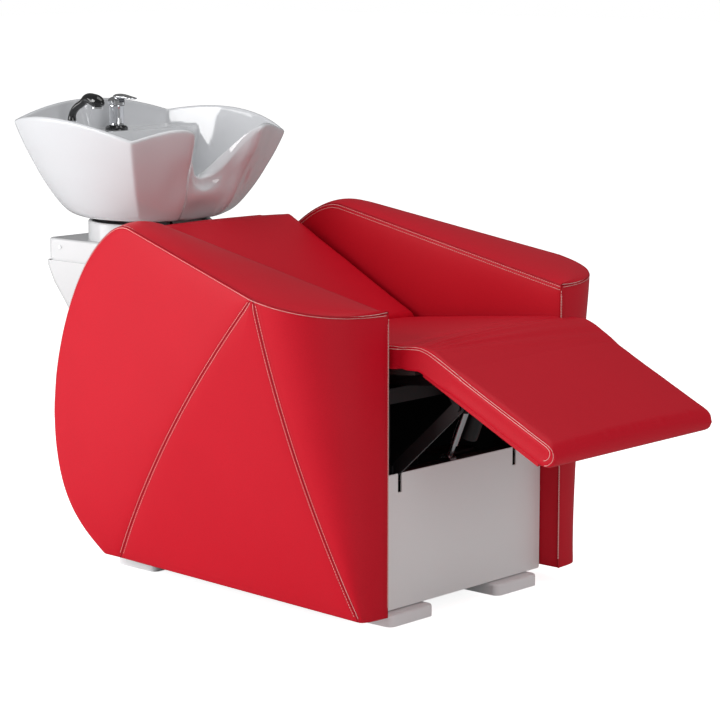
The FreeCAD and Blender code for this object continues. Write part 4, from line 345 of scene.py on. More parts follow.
def clamped_spline(points, start_way, end_way, count):
    """A cubic spline through points with the given end directions, at a count of places.

    The parameter is the distance along the chords, and the second derivatives at the points
    solve the usual three-term equations, with the first and last slopes given.
    """
    points, start_way, end_way = np.array(points), unit(start_way), unit(end_way)
    gaps = np.linalg.norm(np.diff(points, axis=0), axis=1)
    knots = distances(points)
    n = len(points)
    left = np.zeros((n, n))
    right = np.zeros((n, points.shape[1]))
    slopes = np.diff(points, axis=0) / gaps[:, None]
    middle = np.arange(1, n - 1)
    left[middle, middle - 1] = gaps[:-1]
    left[middle, middle] = 2.0 * (gaps[:-1] + gaps[1:])
    left[middle, middle + 1] = gaps[1:]
    right[middle] = 6.0 * np.diff(slopes, axis=0)
    left[0, :2] = (2.0 * gaps[0], gaps[0])
    right[0] = 6.0 * (slopes[0] - start_way)
    left[-1, -2:] = (gaps[-1], 2.0 * gaps[-1])
    right[-1] = 6.0 * (end_way - slopes[-1])
    bend = np.linalg.solve(left, right)
    at = np.linspace(0.0, knots[-1], count)
    k = np.clip(np.searchsorted(knots, at, side="right") - 1, 0, n - 2)
    h, a, b = gaps[k][:, None], (knots[k + 1] - at)[:, None], (at - knots[k])[:, None]
    return (bend[k] * a ** 3 / (6 * h) + bend[k + 1] * b ** 3 / (6 * h)
            + (points[k] / h - bend[k] * h / 6) * a + (points[k + 1] / h - bend[k + 1] * h / 6) * b)


def soft_step(t):
    """A share between nought and one made to start and to end softly: 3 t^2 - 2 t^3."""
    return t ** 2 * (3 - 2 * t)


def bell(value, width):
    """One where the value is nought, falling to nothing over about two widths."""
    return np.exp(-(value / width) ** 2)


back_curve = clamped_spline(outline_points, (TOP_END, TOP_RISE), (-0.056, -0.045), 900)
furthest = int(np.argmax(back_curve[:, 0]))
PANEL_END = back_curve[furthest, 0]
upper_back = back_curve[:furthest + 1]
lower_back = back_curve[furthest:][::-1]


def top_height(y):
    """The panel's top edge: a straight rise to y 0.6, then the curve over the back."""
    return np.where(y < TOP_END, TOP_FRONT_Z + y * TOP_RISE / TOP_END,
                    np.interp(y, upper_back[:, 0], upper_back[:, 1]))


def bottom_height(y):
    """The panel's lower edge: level to y 0.776, then the curve up to the furthest point."""
    return np.where(y < BOTTOM_END, PANEL_BOTTOM, np.interp(y, lower_back[:, 0], lower_back[:, 1]))


def seam_line(z, below, apex, bow):
    """A slanting seam: a straight line from y below to y at the apex, plus 4 h (1 - h) bows."""
    h = np.clip((z - PANEL_BOTTOM) / (APEX_Z - PANEL_BOTTOM), 0.0, 1.0)
    return (1 - h) * below + h * apex + bow * 4 * h * (1 - h)


def triangle_out(y, z):
    """How far the flat triangle stands out from the inner face: a plane that leans outwards."""
    risen = np.minimum(z, APEX_Z) - PANEL_BOTTOM
    return TRIANGLE_OUT - TRIANGLE_TAPER * (y - RIDGE[0]) + TRIANGLE_LEAN * risen


def inner_shares(count):
    """Evenly spaced shares between nought and one, without the two ends."""
    return np.arange(1, count + 1) / (count + 1)


def facet_columns(region, count, far=True):
    """The columns of a facet: its first seam, the lines beside its seams, and even lines between.

    A column is its facet, its share of the way across and its offset from a seam.
    """
    columns = [(region, 0.0, close) for close in (0.0, SEAM_STEP, SEAM_SHOULDER)]
    columns += [(region, share, 0.0) for share in inner_shares(count)]
    if far:
        columns += [(region, 1.0, -SEAM_SHOULDER), (region, 1.0, -SEAM_STEP)]
    return columns


# The columns of the outside: across the rounded front, the triangle and the rear facet.
columns = (facet_columns(0, 15) + facet_columns(1, 26) + facet_columns(2, 60, far=False)
           + [(2, 1.0, 0.0)])
region, share, offset = (np.array(values) for values in zip(*columns))
COLUMN_RIDGE = int(np.argmax(region == 1))
COLUMN_REAR = int(np.argmax(region == 2))


def column_place(z):
    """For each column at height z: distance from the front, distance out, and distance to a seam.

    Front: a full quarter, y = ridge (1 - cos p ^ f), out = out at ridge times sin p ^ f. Triangle:
    straight between the two seams. Rear: y by a sine so that its lines crowd at the end, and
    out = straight from the seam to 13 mm at y 0.96.
    """
    ridge, rear = seam_line(z, *RIDGE), seam_line(z, *REAR_SEAM)
    out_ridge, out_rear = triangle_out(ridge, z), triangle_out(rear, z)
    r, s, o = region[:, None], share[:, None], offset[:, None]
    beside = np.abs(o)

    def quarter(part):
        """The angle whose sine, to the power of the fullness, is a part of the whole."""
        return np.arcsin(part ** (1 / FULLNESS))

    half = np.pi / 2
    radius = np.where(o > 0, out_ridge, ridge)
    gap = quarter(np.minimum(beside / radius, FRONT_CAP * beside / SEAM_SHOULDER))
    low = quarter(SEAM_SHOULDER / out_ridge)
    high = half - quarter(np.minimum(SEAM_SHOULDER / ridge, FRONT_CAP))
    angle = np.where(o == 0, np.where(s == 0, 0.0, low + (high - low) * s),
                     np.where(o > 0, gap, half - gap))
    front_y = ridge * (1 - np.cos(angle) ** FULLNESS)
    front_out = out_ridge * np.sin(angle) ** FULLNESS

    wide = rear - ridge
    near = np.minimum(SEAM_SHOULDER * SLANT, TRIANGLE_CAP * wide)
    step = np.minimum(beside * SLANT, TRIANGLE_CAP * wide * beside / SEAM_SHOULDER)
    triangle_y = np.where(o == 0, np.where(s == 0, ridge, ridge + near + (wide - 2 * near) * s),
                          np.where(o > 0, ridge + step, rear - step))

    length = PANEL_END - rear
    start = SEAM_SHOULDER * SLANT / length
    along = np.where(o == 0, np.where(s == 0, 0.0, start + (1 - start) * np.sin(s * half)),
                     beside * SLANT / length)
    rear_y = rear + length * np.clip(along, 0.0, 1.0)
    rear_out = out_rear + (REAR_OUT - out_rear) * (rear_y - rear) / (REAR_OUT_AT - rear)

    y = np.where(r == 0, front_y, np.where(r == 1, triangle_y, rear_y))
    out = np.where(r == 0, front_out, np.where(r == 1, triangle_out(triangle_y, z), rear_out))
    to_ridge = np.where(r == 0, ridge * np.clip(half - angle, 0, None), (y - ridge) / SLANT)
    seam = np.minimum(np.abs(to_ridge), np.abs(y - rear) / SLANT)
    return y, out, np.where(r == 0, np.minimum(seam, out_ridge * angle), seam)


# The rows: two close lines beside the lower and the upper edge, and even lines between.
row_share = np.concatenate([np.zeros(3), inner_shares(ROWS), np.ones(3)])
row_offset = np.concatenate([[0, SEAM_STEP, SEAM_SHOULDER], np.zeros(ROWS),
                             [-SEAM_SHOULDER, -SEAM_STEP, 0]])


def row_height(y):
    """Heights of the rows at y: between the lower edge and the top edge of the outline there."""
    low, high = bottom_height(y), top_height(y)
    tall = np.maximum(high - low, 1e-4)
    before = np.where(y < 0.01, high, top_height(y - 0.004))
    slope = np.clip(np.abs(high - before) / 0.004, 0.0, 4.0)
    s, o = row_share[None, :], row_offset[None, :]
    stretch = np.sqrt(1 + slope ** 2)
    shoulder = np.minimum(SEAM_SHOULDER * stretch, ROW_CAP * tall)
    step = np.minimum(np.abs(o) * stretch, ROW_CAP * tall * np.abs(o) / SEAM_SHOULDER)
    inner = low + shoulder + (tall - 2 * shoulder) * s
    return np.select([o > 0, o < 0, s == 0, s == 1], [low + step, high - step, low, high], inner)


# The seams slant and the edges slope, so where a point lies along and how high depend on each
# other. Going back and forth between the two settles them.
SETTLING_ROUNDS = 90
panel_z = np.tile(np.linspace(PANEL_BOTTOM, 0.6, len(row_share)), (len(columns), 1))
for _ in range(SETTLING_ROUNDS):
    panel_y = column_place(panel_z)[0]
    panel_z = 0.5 * panel_z + 0.5 * row_height(panel_y)
panel_y, panel_out, panel_seam = column_place(panel_z)

# Distance to the upper edge is a seam too, and the padding sinks towards every seam and edge.
SINK = 0.0030
SINK_REACH = 0.014
SAG, SAG_REACH = 0.0012, 0.045
TOP_SLOPE = 0.2033
edge_top = (top_height(panel_y) - panel_z) / np.sqrt(1 + TOP_SLOPE ** 2)
edge_low = panel_z - bottom_height(panel_y)
edge_end = np.abs(PANEL_END - panel_y)
panel_seam = np.minimum(panel_seam, edge_top)
nearest = np.minimum(np.minimum(panel_seam, edge_low), edge_end)
sunk = SINK * np.exp(-nearest / SINK_REACH) + SAG * np.exp(-nearest / SAG_REACH)
panel_out = np.maximum(panel_out - sunk, 0.0)
inner_edge = np.minimum(np.minimum(edge_top, edge_low), np.minimum(panel_y, edge_end))
inner_out = np.minimum(SINK * np.exp(-inner_edge / 0.012), panel_out * 0.3)

# The rim over the top and under the bottom joins the outside to the flat inside.
RIM_LINES = 17
TOP_CROWN = 0.006
UNSTITCHED = 0.02
rim_share = np.concatenate([np.zeros(3), inner_shares(RIM_LINES - 6), np.ones(3)])


def rim_between(outside, crown):
    """Lines over an edge from the inside outwards, with close lines beside both corners.

    The rim stands off its straight line by crown times 4 s (1 - s), and sinks at its corners.
    Each line comes with its distance out, its height over the edge and its nearest corner.
    """
    width = outside[:, None]
    near = np.minimum(SEAM_SHOULDER, 0.3 * width)
    step = np.minimum(SEAM_STEP, 0.12 * width)
    lines = near + (width - 2 * near) * rim_share[None, :]
    lines[:, :3] = np.hstack([width * 0, step, near])
    lines[:, -3:] = np.hstack([width - near, width - step, width])
    corner = np.minimum(lines, width - lines)
    rise = (crown * 4 * lines * (width - lines) / np.maximum(width, 1e-4) ** 2
            - np.minimum(SINK, 0.2 * width) * np.exp(-corner / SINK_REACH))
    return lines[:, 1:-1], rise[:, 1:-1], corner[:, 1:-1]


# A closed loop of lines: up the outside, in over the top, down the inside, out under the foot.
top_out, top_rise, top_seam = (part[:, ::-1] for part in rim_between(panel_out[:, -1], TOP_CROWN))
low_out, low_rise, low_seam = rim_between(panel_out[:, 0], 0.0)
flat = np.zeros((1, RIM_LINES - 2))
loop_y = np.hstack([panel_y, panel_y[:, -1:] + flat, panel_y[:, ::-1], panel_y[:, :1] + flat])
loop_z = np.hstack([panel_z, panel_z[:, -1:] + top_rise,
                    panel_z[:, ::-1], panel_z[:, :1] - low_rise])
loop_out = np.hstack([panel_out, top_out, inner_out[:, ::-1], low_out])
loop_seam = np.hstack([panel_seam, top_seam, np.minimum(panel_y, edge_top)[:, ::-1],
                       low_seam + UNSTITCHED])
loop_seam[0] = 0.0


def panel_points(side, y, z, out):
    """Points of a panel in the bed's frame: side is -1 for the left panel and 1 for the right."""
    return np.stack([side * (PANEL_INNER + out), y + FRONT, z], -1)


def merged(made, distance):
    """The same object with its doubled points joined and its faces turned outwards."""
    soft = bmesh.new()
    soft.from_mesh(made.data)
    bmesh.ops.remove_doubles(soft, verts=soft.verts, dist=distance)
    bmesh.ops.dissolve_degenerate(soft, edges=soft.edges, dist=distance * 0.5)
    bmesh.ops.recalc_face_normals(soft, faces=soft.faces)
    soft.to_mesh(made.data)
    soft.free()
    made.data.shade_smooth()
    return made


def subdivided(made, name):
    """Lets an object be rounded off by one live subdivision."""
    smooth = made.modifiers.new(name, "SUBSURF")
    smooth.levels = smooth.render_levels = 1


def side_panel(side, name):
    """One panel: the closed loop of lines from outside to inside, carried from front to back."""
    made = grid_mesh(name, panel_points(side, loop_y, loop_z, loop_out), wrap_columns=True)
    # The inside below the seat is marked to be painted near black: painted shade.
    shade_painted = ((loop_out < PAINTED_SHADE_OUT) & (loop_z < PAINTED_SHADE_TOP)
             & (loop_y > PAINTED_SHADE_FRONT) & (loop_y < PAINTED_SHADE_REAR))
    for mark, values in (("seam", loop_seam), ("painted_shade", shade_painted)):
        attribute = made.data.attributes.new(mark, "FLOAT", "POINT")
        attribute.data.foreach_set("value", values.astype(np.float32).ravel())
    merged(made, 0.00025)
    subdivided(made, "round_edges")
    made.data.materials.append(seamed_hide)
    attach(made, "bed_frame")
    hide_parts(name.replace("cover", "upholstery"))


for side, name in ((-1, "side_panel_left_cover"), (1, "side_panel_right_cover")):
    side_panel(side, name)


# ---------------------------------------------------------------- top-stitching
# Pale polyester thread in a lockstitch, 5.5 mm a stitch, in rows 4 mm to each side of a seam.
# Each stitch is a short low dash that lies in the hide, thickest in the middle.

THREAD_LENGTH = 0.0043
THREAD_PITCH = 0.0056
THREAD_RADIUS = 0.00052
STITCH_RINGS = 4
STITCH_SIDES = 6

thread = Finish("thread_pale", Base_Color=(0.86, 0.50, 0.47, 1.0), Roughness=0.55, Sheen_Weight=0.2)
thread.relief(thread.noise(2600.0) * 0.00004)


def evenly(path, pitch):
    """Points at even distances along a path, with the way the path runs at each."""
    far = distances(path)
    count = max(int(far[-1] / pitch), 1)
    at = (np.arange(count) + 0.5) * far[-1] / count
    ahead, behind = path_at(path, far, at + pitch * 0.2), path_at(path, far, at - pitch * 0.2)
    return path_at(path, far, at), unit(ahead - behind)


def stitch_rows(name, rows, body):
    """All the stitches of some rows as one piece.

    A row is a path on the surface and the outward way at each of its points. A stitch is a
    capsule of four rings: radius times sin, drawn out along the row, sunk by half its radius.
    """
    angle = np.arange(STITCH_SIDES) * 2 * np.pi / STITCH_SIDES
    along = np.array([-0.5, -0.30, 0.30, 0.5]) * THREAD_LENGTH
    girth = np.array([0.25, 1.0, 1.0, 0.25]) * THREAD_RADIUS
    ring, side = np.meshgrid(np.arange(STITCH_RINGS - 1), np.arange(STITCH_SIDES), indexing="ij")
    here, after = ring * STITCH_SIDES + side, ring * STITCH_SIDES + (side + 1) % STITCH_SIDES
    walls = np.stack([here, after, after + STITCH_SIDES, here + STITCH_SIDES], -1)
    caps = np.array([[0, 3, 2, 1], [0, 5, 4, 3]])
    caps = np.concatenate([caps, (STITCH_RINGS - 1) * STITCH_SIDES + caps[:, ::-1][:, [3, 0, 1, 2]]])
    points, faces, base = [], [], 0
    for path, outward in rows:
        place, way = evenly(np.hstack([path, outward]), THREAD_PITCH)
        run = unit(way[:, :3])
        across = unit(np.cross(run, unit(place[:, 3:])))
        spot, run, across, out = (each[:, None, None]
                                  for each in (place[:, :3], run, across, np.cross(across, run)))
        rings = (spot + run * along[:, None, None]
                 + girth[:, None, None] * (across * np.cos(angle)[:, None]
                                           + out * (np.sin(angle) + 0.15)[:, None]))
        start = base + np.arange(len(place))[:, None, None] * STITCH_RINGS * STITCH_SIDES
        faces += [(start[..., None] + walls).reshape(-1, 4), (start + caps).reshape(-1, 4)]
        points.append(rings.reshape(-1, 3))
        base += len(points[-1])
    made = merged(numpy_mesh(name, np.concatenate(points), np.concatenate(faces)), 1e-7)
    made.data.materials.append(thread.material)
    if body:
        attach(made, body)
    return made


def surface_ways(points):
    """The outward way at each point of a grid whose columns run round."""
    across = np.roll(points, -1, 1) - np.roll(points, 1, 1)
    return unit(np.cross(across, np.gradient(points, axis=0)) + 1e-12)


def panel_rows(side):
    """The stitched rows of one panel, picked off its grid of points.

    Both sides of the two slanting seams, both sides of the seam below the top band, and the
    rows along the inner edge of the top, and down both sides of the front edge.
    """
    points = panel_points(side, loop_y, loop_z, loop_out)
    ways = surface_ways(points) * (-side)
    tall = len(row_share)
    lower, upper = 1, tall - 2
    inner_top = tall + RIM_LINES - 2
    every = np.arange(2, len(columns) - 1)
    shown = every[loop_y[every, inner_top] > 0.006]
    inside = slice(inner_top + 3, inner_top + tall - 3)
    picked = [(seam_column + beside, slice(lower + 1, upper))
              for seam_column in (COLUMN_RIDGE, COLUMN_REAR) for beside in (-1, 1)]
    picked += [(every, upper), (every, tall), (shown, inner_top + 1), (shown, inner_top + 2),
               (1, slice(lower + 2, upper)), (1, inside), (2, inside)]
    return [(points[lines], ways[lines]) for lines in picked]


for side, name in ((-1, "side_panel_left_stitching"), (1, "side_panel_right_stitching")):
    stitch_rows(name, panel_rows(side), "bed_frame")


# ---------------------------------------------------------------- seat, back and legrest pads
# Foam pads under plain hide, screwed to boards from below. The foam presses the hide out a
# little, so each pad is blown up by a cloth simulation from its foam block and then held.

PAD_VOXEL = 0.0050
PAD_FRAMES = 20
CLOTH = {"quality": 5, "mass": 0.3, "tension_stiffness": 12.0, "compression_stiffness": 12.0,
         "shear_stiffness": 6.0, "bending_stiffness": 1.5, "use_pressure": True,
         "uniform_pressure_force": 4.0}


def mesh_values(mesh, what):
    """The places ("co") or the outward ways ("normal") of a mesh's points."""
    flat = np.empty(len(mesh.vertices) * 3, np.float32)
    mesh.vertices.foreach_get(what, flat)
    return flat.reshape(-1, 3).astype(float)


def move_points(mesh, points):
    """Puts the points of a mesh elsewhere."""
    mesh.vertices.foreach_set("co", points.astype(np.float32).ravel())
    mesh.update()


def evaluated(made):
    """An object as its live modifiers make it."""
    return made.evaluated_get(bpy.context.evaluated_depsgraph_get())


def applied(made):
    """Turns an object's live modifiers into its mesh."""
    mesh = bpy.data.meshes.new_from_object(evaluated(made))
    made.modifiers.clear()
    old, made.data = made.data, mesh
    bpy.data.meshes.remove(old)
    return made


def averaged(made, name, times):
    """Moves each point of an object halfway to the average of its neighbours, some times."""
    soften = made.modifiers.new(name, "SMOOTH")
    soften.factor, soften.iterations = 0.5, times
    applied(made)


def pad(node, name, body, swell, down):
    """A pad from its foam block: remeshed, drawn in, blown up, and held within a swell.

    down is the way of the board below it. Points that face the board don't move, those on the
    two sides move little, and the others move at most by the swell.
    """
    mesh = nodes[node].data.copy()
    mesh.name = name
    mesh.materials.clear()
    made = merged(placed(name, mesh), 1e-5)
    cubes = made.modifiers.new("cubes", "REMESH")
    cubes.mode, cubes.voxel_size = "VOXEL", PAD_VOXEL
    applied(made)
    averaged(made, "soften", 3)
    rest, ways = mesh_values(made.data, "co"), mesh_values(made.data, "normal")
    facing = np.clip((ways @ np.array(down, float) + 0.15) / 0.5, 0.0, 1.0)
    free = (1 - soft_step(facing)) * (1 - 0.75 * np.abs(ways[:, 0]))
    cloth = made.modifiers.new("air", "CLOTH")
    for setting, value in CLOTH.items():
        setattr(cloth.settings, setting, value)
    cloth.settings.effector_weights.gravity = 0.0
    cloth.point_cache.frame_start, cloth.point_cache.frame_end = 1, PAD_FRAMES
    for number in range(1, PAD_FRAMES + 1):
        bpy.context.scene.frame_set(number)
    blown = mesh_values(evaluated(made).data, "co")
    made.modifiers.clear()
    bpy.context.scene.frame_set(1)
    outward = np.maximum(((blown - rest) * ways).sum(axis=1), 0.0)
    moved = ways * (outward * free)[:, None]
    far = np.linalg.norm(moved, axis=1, keepdims=True)
    move_points(made.data, rest + moved * (swell * np.tanh(far / swell) / np.maximum(far, 1e-9)))
    averaged(made, "settle", 4)
    made.data.shade_smooth()
    subdivided(made, "smooth")
    made.data.materials.append(plain_hide)
    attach(made, body)
    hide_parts(node)
    return made


LEGREST_FALL = math.radians(26.0)
legrest_forward = np.array([0.0, -math.cos(LEGREST_FALL), -math.sin(LEGREST_FALL)])
legrest_up = np.array([0.0, -math.sin(LEGREST_FALL), math.cos(LEGREST_FALL)])
back_low, back_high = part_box("back_board")
back_down = unit([0.0, back_high.z - back_low.z, -(back_high.y - back_low.y)])
seat_pad = pad("seat_cushion", "seat_pad", "bed_frame", 0.0045, (0, 0, -1))
pad("back_cushion", "back_pad", "bed_frame", 0.0050, back_down)
legrest_pad = pad("legrest_cushion", "legrest_pad", "legrest", 0.0040, -legrest_up)


# ---------------------------------------------------------------- fold between seat and legrest
# One hide runs over the seat and down the legrest. It is a separate sheet over the fold, sewn
# into both pads at its ends, loose enough to gather in soft creases that fan out from the
# near side.

def tree_of(made):
    """A search tree over the finished surface of an object."""
    mesh = evaluated(made).data
    return BVHTree.FromPolygons([vertex.co.copy() for vertex in mesh.vertices],
                                [polygon.vertices[:] for polygon in mesh.polygons])


def laid_on(tree, path):
    """The points of the tree's surface next to a path, and the outward way at each."""
    found = [tree.find_nearest(Vector(point)) for point in path]
    return np.array([hit[0][:] for hit in found]), np.array([hit[1][:] for hit in found])


def first_hit(tree, start, way):
    """Where a straight look from start along way first meets a tree."""
    return np.array(tree.ray_cast(Vector(start), Vector(way))[0])


def square_up(way):
    """The way at right angles to a way along the bed, upwards."""
    up = np.array([0.0, way[2], -way[1]])
    return unit(up * np.sign(up[2]))


leg_tree, seat_tree = tree_of(legrest_pad), tree_of(seat_pad)
seat_low, seat_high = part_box("seat_cushion")
hinge = np.array([0.0, -0.062 + FRONT, 0.508])


def seat_spot(x, y):
    """The place on top of the seat at x, y."""
    return first_hit(seat_tree, (x, y, seat_high.z + 0.05), (0, 0, -1))


# Two places along each pad's top tell which way it runs.
SEAT_LOOKS, LEG_LOOKS = (0.035, 0.115), (0.060, 0.140)
seat_top = [seat_spot(0.0, seat_low.y + far) for far in SEAT_LOOKS]
leg_top = [first_hit(leg_tree, hinge + legrest_forward * far + legrest_up * 0.09, -legrest_up)
           for far in LEG_LOOKS]
seat_way, leg_way = unit(seat_top[1] - seat_top[0]), unit(leg_top[1] - leg_top[0])
seat_up, leg_up = square_up(seat_way), square_up(leg_way)
# the corner where the two tops would meet
FOLD = seat_top[0] + seat_way * ((leg_top[0] - seat_top[0]) @ leg_up) / (seat_way @ leg_up)
FOLD[0] = 0.0
FOLD_HALF = seat_high.x + 0.0022
FOLD_SEAT_RUN = 0.075
FOLD_LEG_RUN = 0.112
leg_points = mesh_values(evaluated(legrest_pad).data, "co")
leg_along, leg_high = (leg_points - FOLD) @ leg_way, (leg_points - FOLD) @ leg_up
LEG_TIP = leg_along.max()
near_tip = (leg_along > LEG_TIP - 0.10) & (leg_along < LEG_TIP - 0.05)
LEG_DEEP = -leg_high[leg_along < 0.09].min()
TIP_HALF = (leg_high[near_tip].max() - leg_high[near_tip].min()) / 2
seat_points = mesh_values(evaluated(seat_pad).data, "co")
from_front = seat_points[:, 1] - seat_points[:, 1].min()
SEAT_DEEP = FOLD[2] - seat_points[from_front < 0.03][:, 2].min()


def half_width(points, high):
    """Half the width of a pad 20 mm below its top."""
    return points[np.abs(high + 0.020) < 0.006][:, 0].max()


seat_front = seat_points[from_front < 0.12]
SEAT_HALF = half_width(seat_front, (seat_front - FOLD) @ seat_up)
LEG_HALF = half_width(leg_points[leg_along < 0.20], leg_high[leg_along < 0.20])
# how much lower than in the middle each pad's top is towards its sides
crown_at = np.linspace(-0.232, 0.232, 13)
seat_crown = np.array([seat_spot(x, seat_top[0][1]) for x in crown_at])
seat_crown = (seat_crown - seat_top[0]) @ seat_up
leg_crown = np.array([first_hit(leg_tree, leg_top[0] * [0, 1, 1] + [x, 0, 0] + leg_up * 0.05, -leg_up)
                      for x in crown_at])
leg_crown = (leg_crown - leg_top[0]) @ leg_up


# The fold cover's creases: where each starts at the near side and ends at the far one, as shares
# of the way along the bed, its depth in metres and its width there.
CREASES = [(-0.05, -0.60, 0.0033, 0.034), (0.00, -0.22, 0.0043, 0.028), (0.05, 0.12, 0.0038, 0.036),
           (0.12, 0.46, 0.0030, 0.044), (-0.13, -0.84, 0.0021, 0.042)]
FOLD_BEND = 0.020
FOLD_EDGE = 0.010
FOLD_THICK = 0.0012
FOLD_PROUD, FOLD_SINK = 0.0034, 0.0009
SIDE_PROUD, SIDE_SINK = 0.0016, 0.0014
LAID_FROM, LAID_OVER = 0.50, 0.42
LAID_PROUD, LAID_DIP = 0.0011, 0.0015


def fold_cover(name):
    """A sheet over the fold: down one side, over the top and down the other side.

    Along the bed its top is a parabola that rounds the corner between the two straight tops.
    It stands 3.4 mm proud in the middle and sinks into the pads at its ends, and its
    creases are bells about straight lines that fan out from the near side. Towards its ends
    it is laid onto the pads and dips 0.4 mm below their surface.
    """
    along = np.linspace(-1.0, 1.0, 81)
    run = np.where(along < 0, FOLD_SEAT_RUN, FOLD_LEG_RUN) * np.abs(along)
    t = np.clip((np.sign(along) * run + FOLD_BEND) / (2 * FOLD_BEND), 0.0, 1.0)[:, None]
    straight = np.where(along[:, None] < 0, seat_way, leg_way) * run[:, None]
    rounded = seat_way * FOLD_BEND * (1 - t) ** 2 + leg_way * FOLD_BEND * t ** 2
    top = FOLD + np.where((run < FOLD_BEND)[:, None], rounded, straight)
    turn = soft_step(t)
    up = unit(seat_up * (1 - turn) + leg_up * turn)
    middle, ends = (1 - along ** 2) ** 2, along ** 6
    radius = FOLD_EDGE
    over = np.linspace(-FOLD_HALF + radius, FOLD_HALF - radius, 121)
    bow = np.linspace(0.0, np.pi / 2, 8)[1:-1]
    fall = np.linspace(radius, 1.0 + radius, 12)
    x = np.concatenate([np.full(12, FOLD_HALF), FOLD_HALF - radius + radius * np.cos(bow), over[::-1],
                        -FOLD_HALF + radius - radius * np.sin(bow), np.full(12, -FOLD_HALF)])
    drop = np.concatenate([fall[::-1], radius - radius * np.sin(bow), np.zeros(121),
                           radius - radius * np.cos(bow), fall])
    deep = np.where(along < 0, SEAT_DEEP,
                    LEG_DEEP + (SEAT_DEEP - LEG_DEEP) * np.clip(1 - along * 2, 0, 1))
    drop = np.where(drop > radius, radius + (drop - radius) * (deep - radius - 0.001)[:, None], drop)
    from_near = (x + FOLD_HALF) / (2 * FOLD_HALF)
    crease = np.zeros((len(along), len(x)))
    for start, end, depth, width in CREASES:
        line = start + (end - start) * from_near ** 0.8
        grown = width * (1 + 1.8 * from_near)
        fade = np.exp(-from_near * 1.6) * (1 - np.exp(-(from_near + 0.02) * 30))
        off = along[:, None] - line
        crease -= depth * fade * bell(off, grown)
        crease += 0.45 * depth * fade * bell(off - 1.7 * grown, grown)
    crown = (1 - turn) * np.interp(x, crown_at, seat_crown) + turn * np.interp(x, crown_at, leg_crown)
    proud = (FOLD_PROUD * middle - FOLD_SINK * ends)[:, None]
    height = (proud + crease + crown) * np.clip(1 - drop / radius, 0, 1) - drop
    points = top[:, None, :] + up[:, None, :] * height[:, :, None]
    half_at = (SEAT_HALF + (LEG_HALF - SEAT_HALF) * turn[:, 0]
               + SIDE_PROUD * middle - SIDE_SINK * ends)
    points[:, :, 0] = x[None] * (half_at / FOLD_HALF)[:, None]
    near_end = soft_step(np.clip((np.abs(along) - LAID_FROM) / LAID_OVER, 0.0, 1.0))
    for row in np.flatnonzero(near_end > 0):
        spot, way = laid_on(seat_tree if along[row] < 0 else leg_tree, points[row])
        lift = LAID_PROUD - LAID_DIP * near_end[row]
        points[row] += near_end[row] * (spot + way * lift - points[row])
    made = grid_mesh(name, points)
    thick = made.modifiers.new("hide", "SOLIDIFY")
    thick.thickness, thick.offset = FOLD_THICK, -1.0
    applied(made)
    made.data.shade_smooth()
    made.data.materials.append(plain_hide)
    return made


def over_fold(made):
    """Bakes a piece's placing into its points: the piece does not bend with the fold."""
    start, end = FOLD + seat_way * 0.034, FOLD + leg_way * 0.046
    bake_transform(made)


fold_sheet = fold_cover("fold_cover")
fold_tree = tree_of(fold_sheet)
over_fold(fold_sheet)


# A double row of stitches borders the side walls, 4.5 and 12.5 mm below the edge: along the
# seat's side, over the fold, down the legrest and round its tip. Each is laid on the surface
# and evened out, because the pads are a little uneven.
ROW_INSETS = (0.0, 0.0125)
ROW_REACH = 7


def evened(line):
    """A line with each point at the average of its neighbours, fewer of them near its ends."""
    kept = line.copy()
    for at in range(1, len(line) - 1):
        near = min(ROW_REACH, at, len(line) - 1 - at)
        kept[at] = line[at - near:at + near + 1].mean(axis=0)
    return kept


def side_path(kind, inset):
    """A row's path beside the seat, the fold or the legrest, at an inset from the top's edge."""
    if kind == "seat":
        along = np.linspace(FOLD_SEAT_RUN * 0.86, FOLD_SEAT_RUN + 0.070, 40)
        return FOLD + seat_way * along[:, None] - seat_up * inset
    if kind == "fold":
        t = np.linspace(0.0, 1.0, 60)[:, None]
        a, b = FOLD + seat_way * FOLD_SEAT_RUN * 0.90, FOLD + leg_way * FOLD_LEG_RUN * 0.92
        ends = np.where(t < 0.45, a + (FOLD - a) * t / 0.45, FOLD + (b - FOLD) * (t - 0.45) / 0.55)
        return ends - unit(seat_up * (1 - t) + leg_up * t) * inset
    straight = np.linspace(FOLD_LEG_RUN * 0.90, LEG_TIP - TIP_HALF, 120)
    turn = np.linspace(np.pi / 2, -np.pi * 0.34, 40)[1:]
    along = np.concatenate([straight, LEG_TIP - TIP_HALF + (TIP_HALF - inset) * np.cos(turn)])
    high = np.concatenate([np.full(120, -inset), -TIP_HALF + (TIP_HALF - inset) * np.sin(turn)])
    return FOLD + leg_way * along[:, None] + leg_up * high[:, None]


for kind, tree, body in (("seat", seat_tree, "bed_frame"), ("legrest", leg_tree, "legrest"),
                         ("fold", fold_tree, None)):
    rows = []
    for x in (-FOLD_HALF - 0.004, FOLD_HALF + 0.004):
        for inset in ROW_INSETS:
            path = side_path(kind, inset)
            path[:, 0] = x
            rows.append([evened(part) for part in laid_on(tree, path)])
    border = stitch_rows(kind + "_stitching", rows, body)
    if body is None:
        over_fold(border)


# ---------------------------------------------------------------- basin
# One casting of white glazed fireclay: a square tub whose corners stand up, with a wide low
# lip at the front for the neck between two ears, and a level deck for the taps at the rear.

glaze = Finish("ceramic_glaze", Base_Color=(0.705, 0.715, 0.738, 1.0), Roughness=0.07,
               Coat_Weight=0.5, Coat_Roughness=0.03, IOR=1.52)
glaze.relief(glaze.noise(9.0) * 0.0006 + glaze.noise(60.0) * 0.00002)

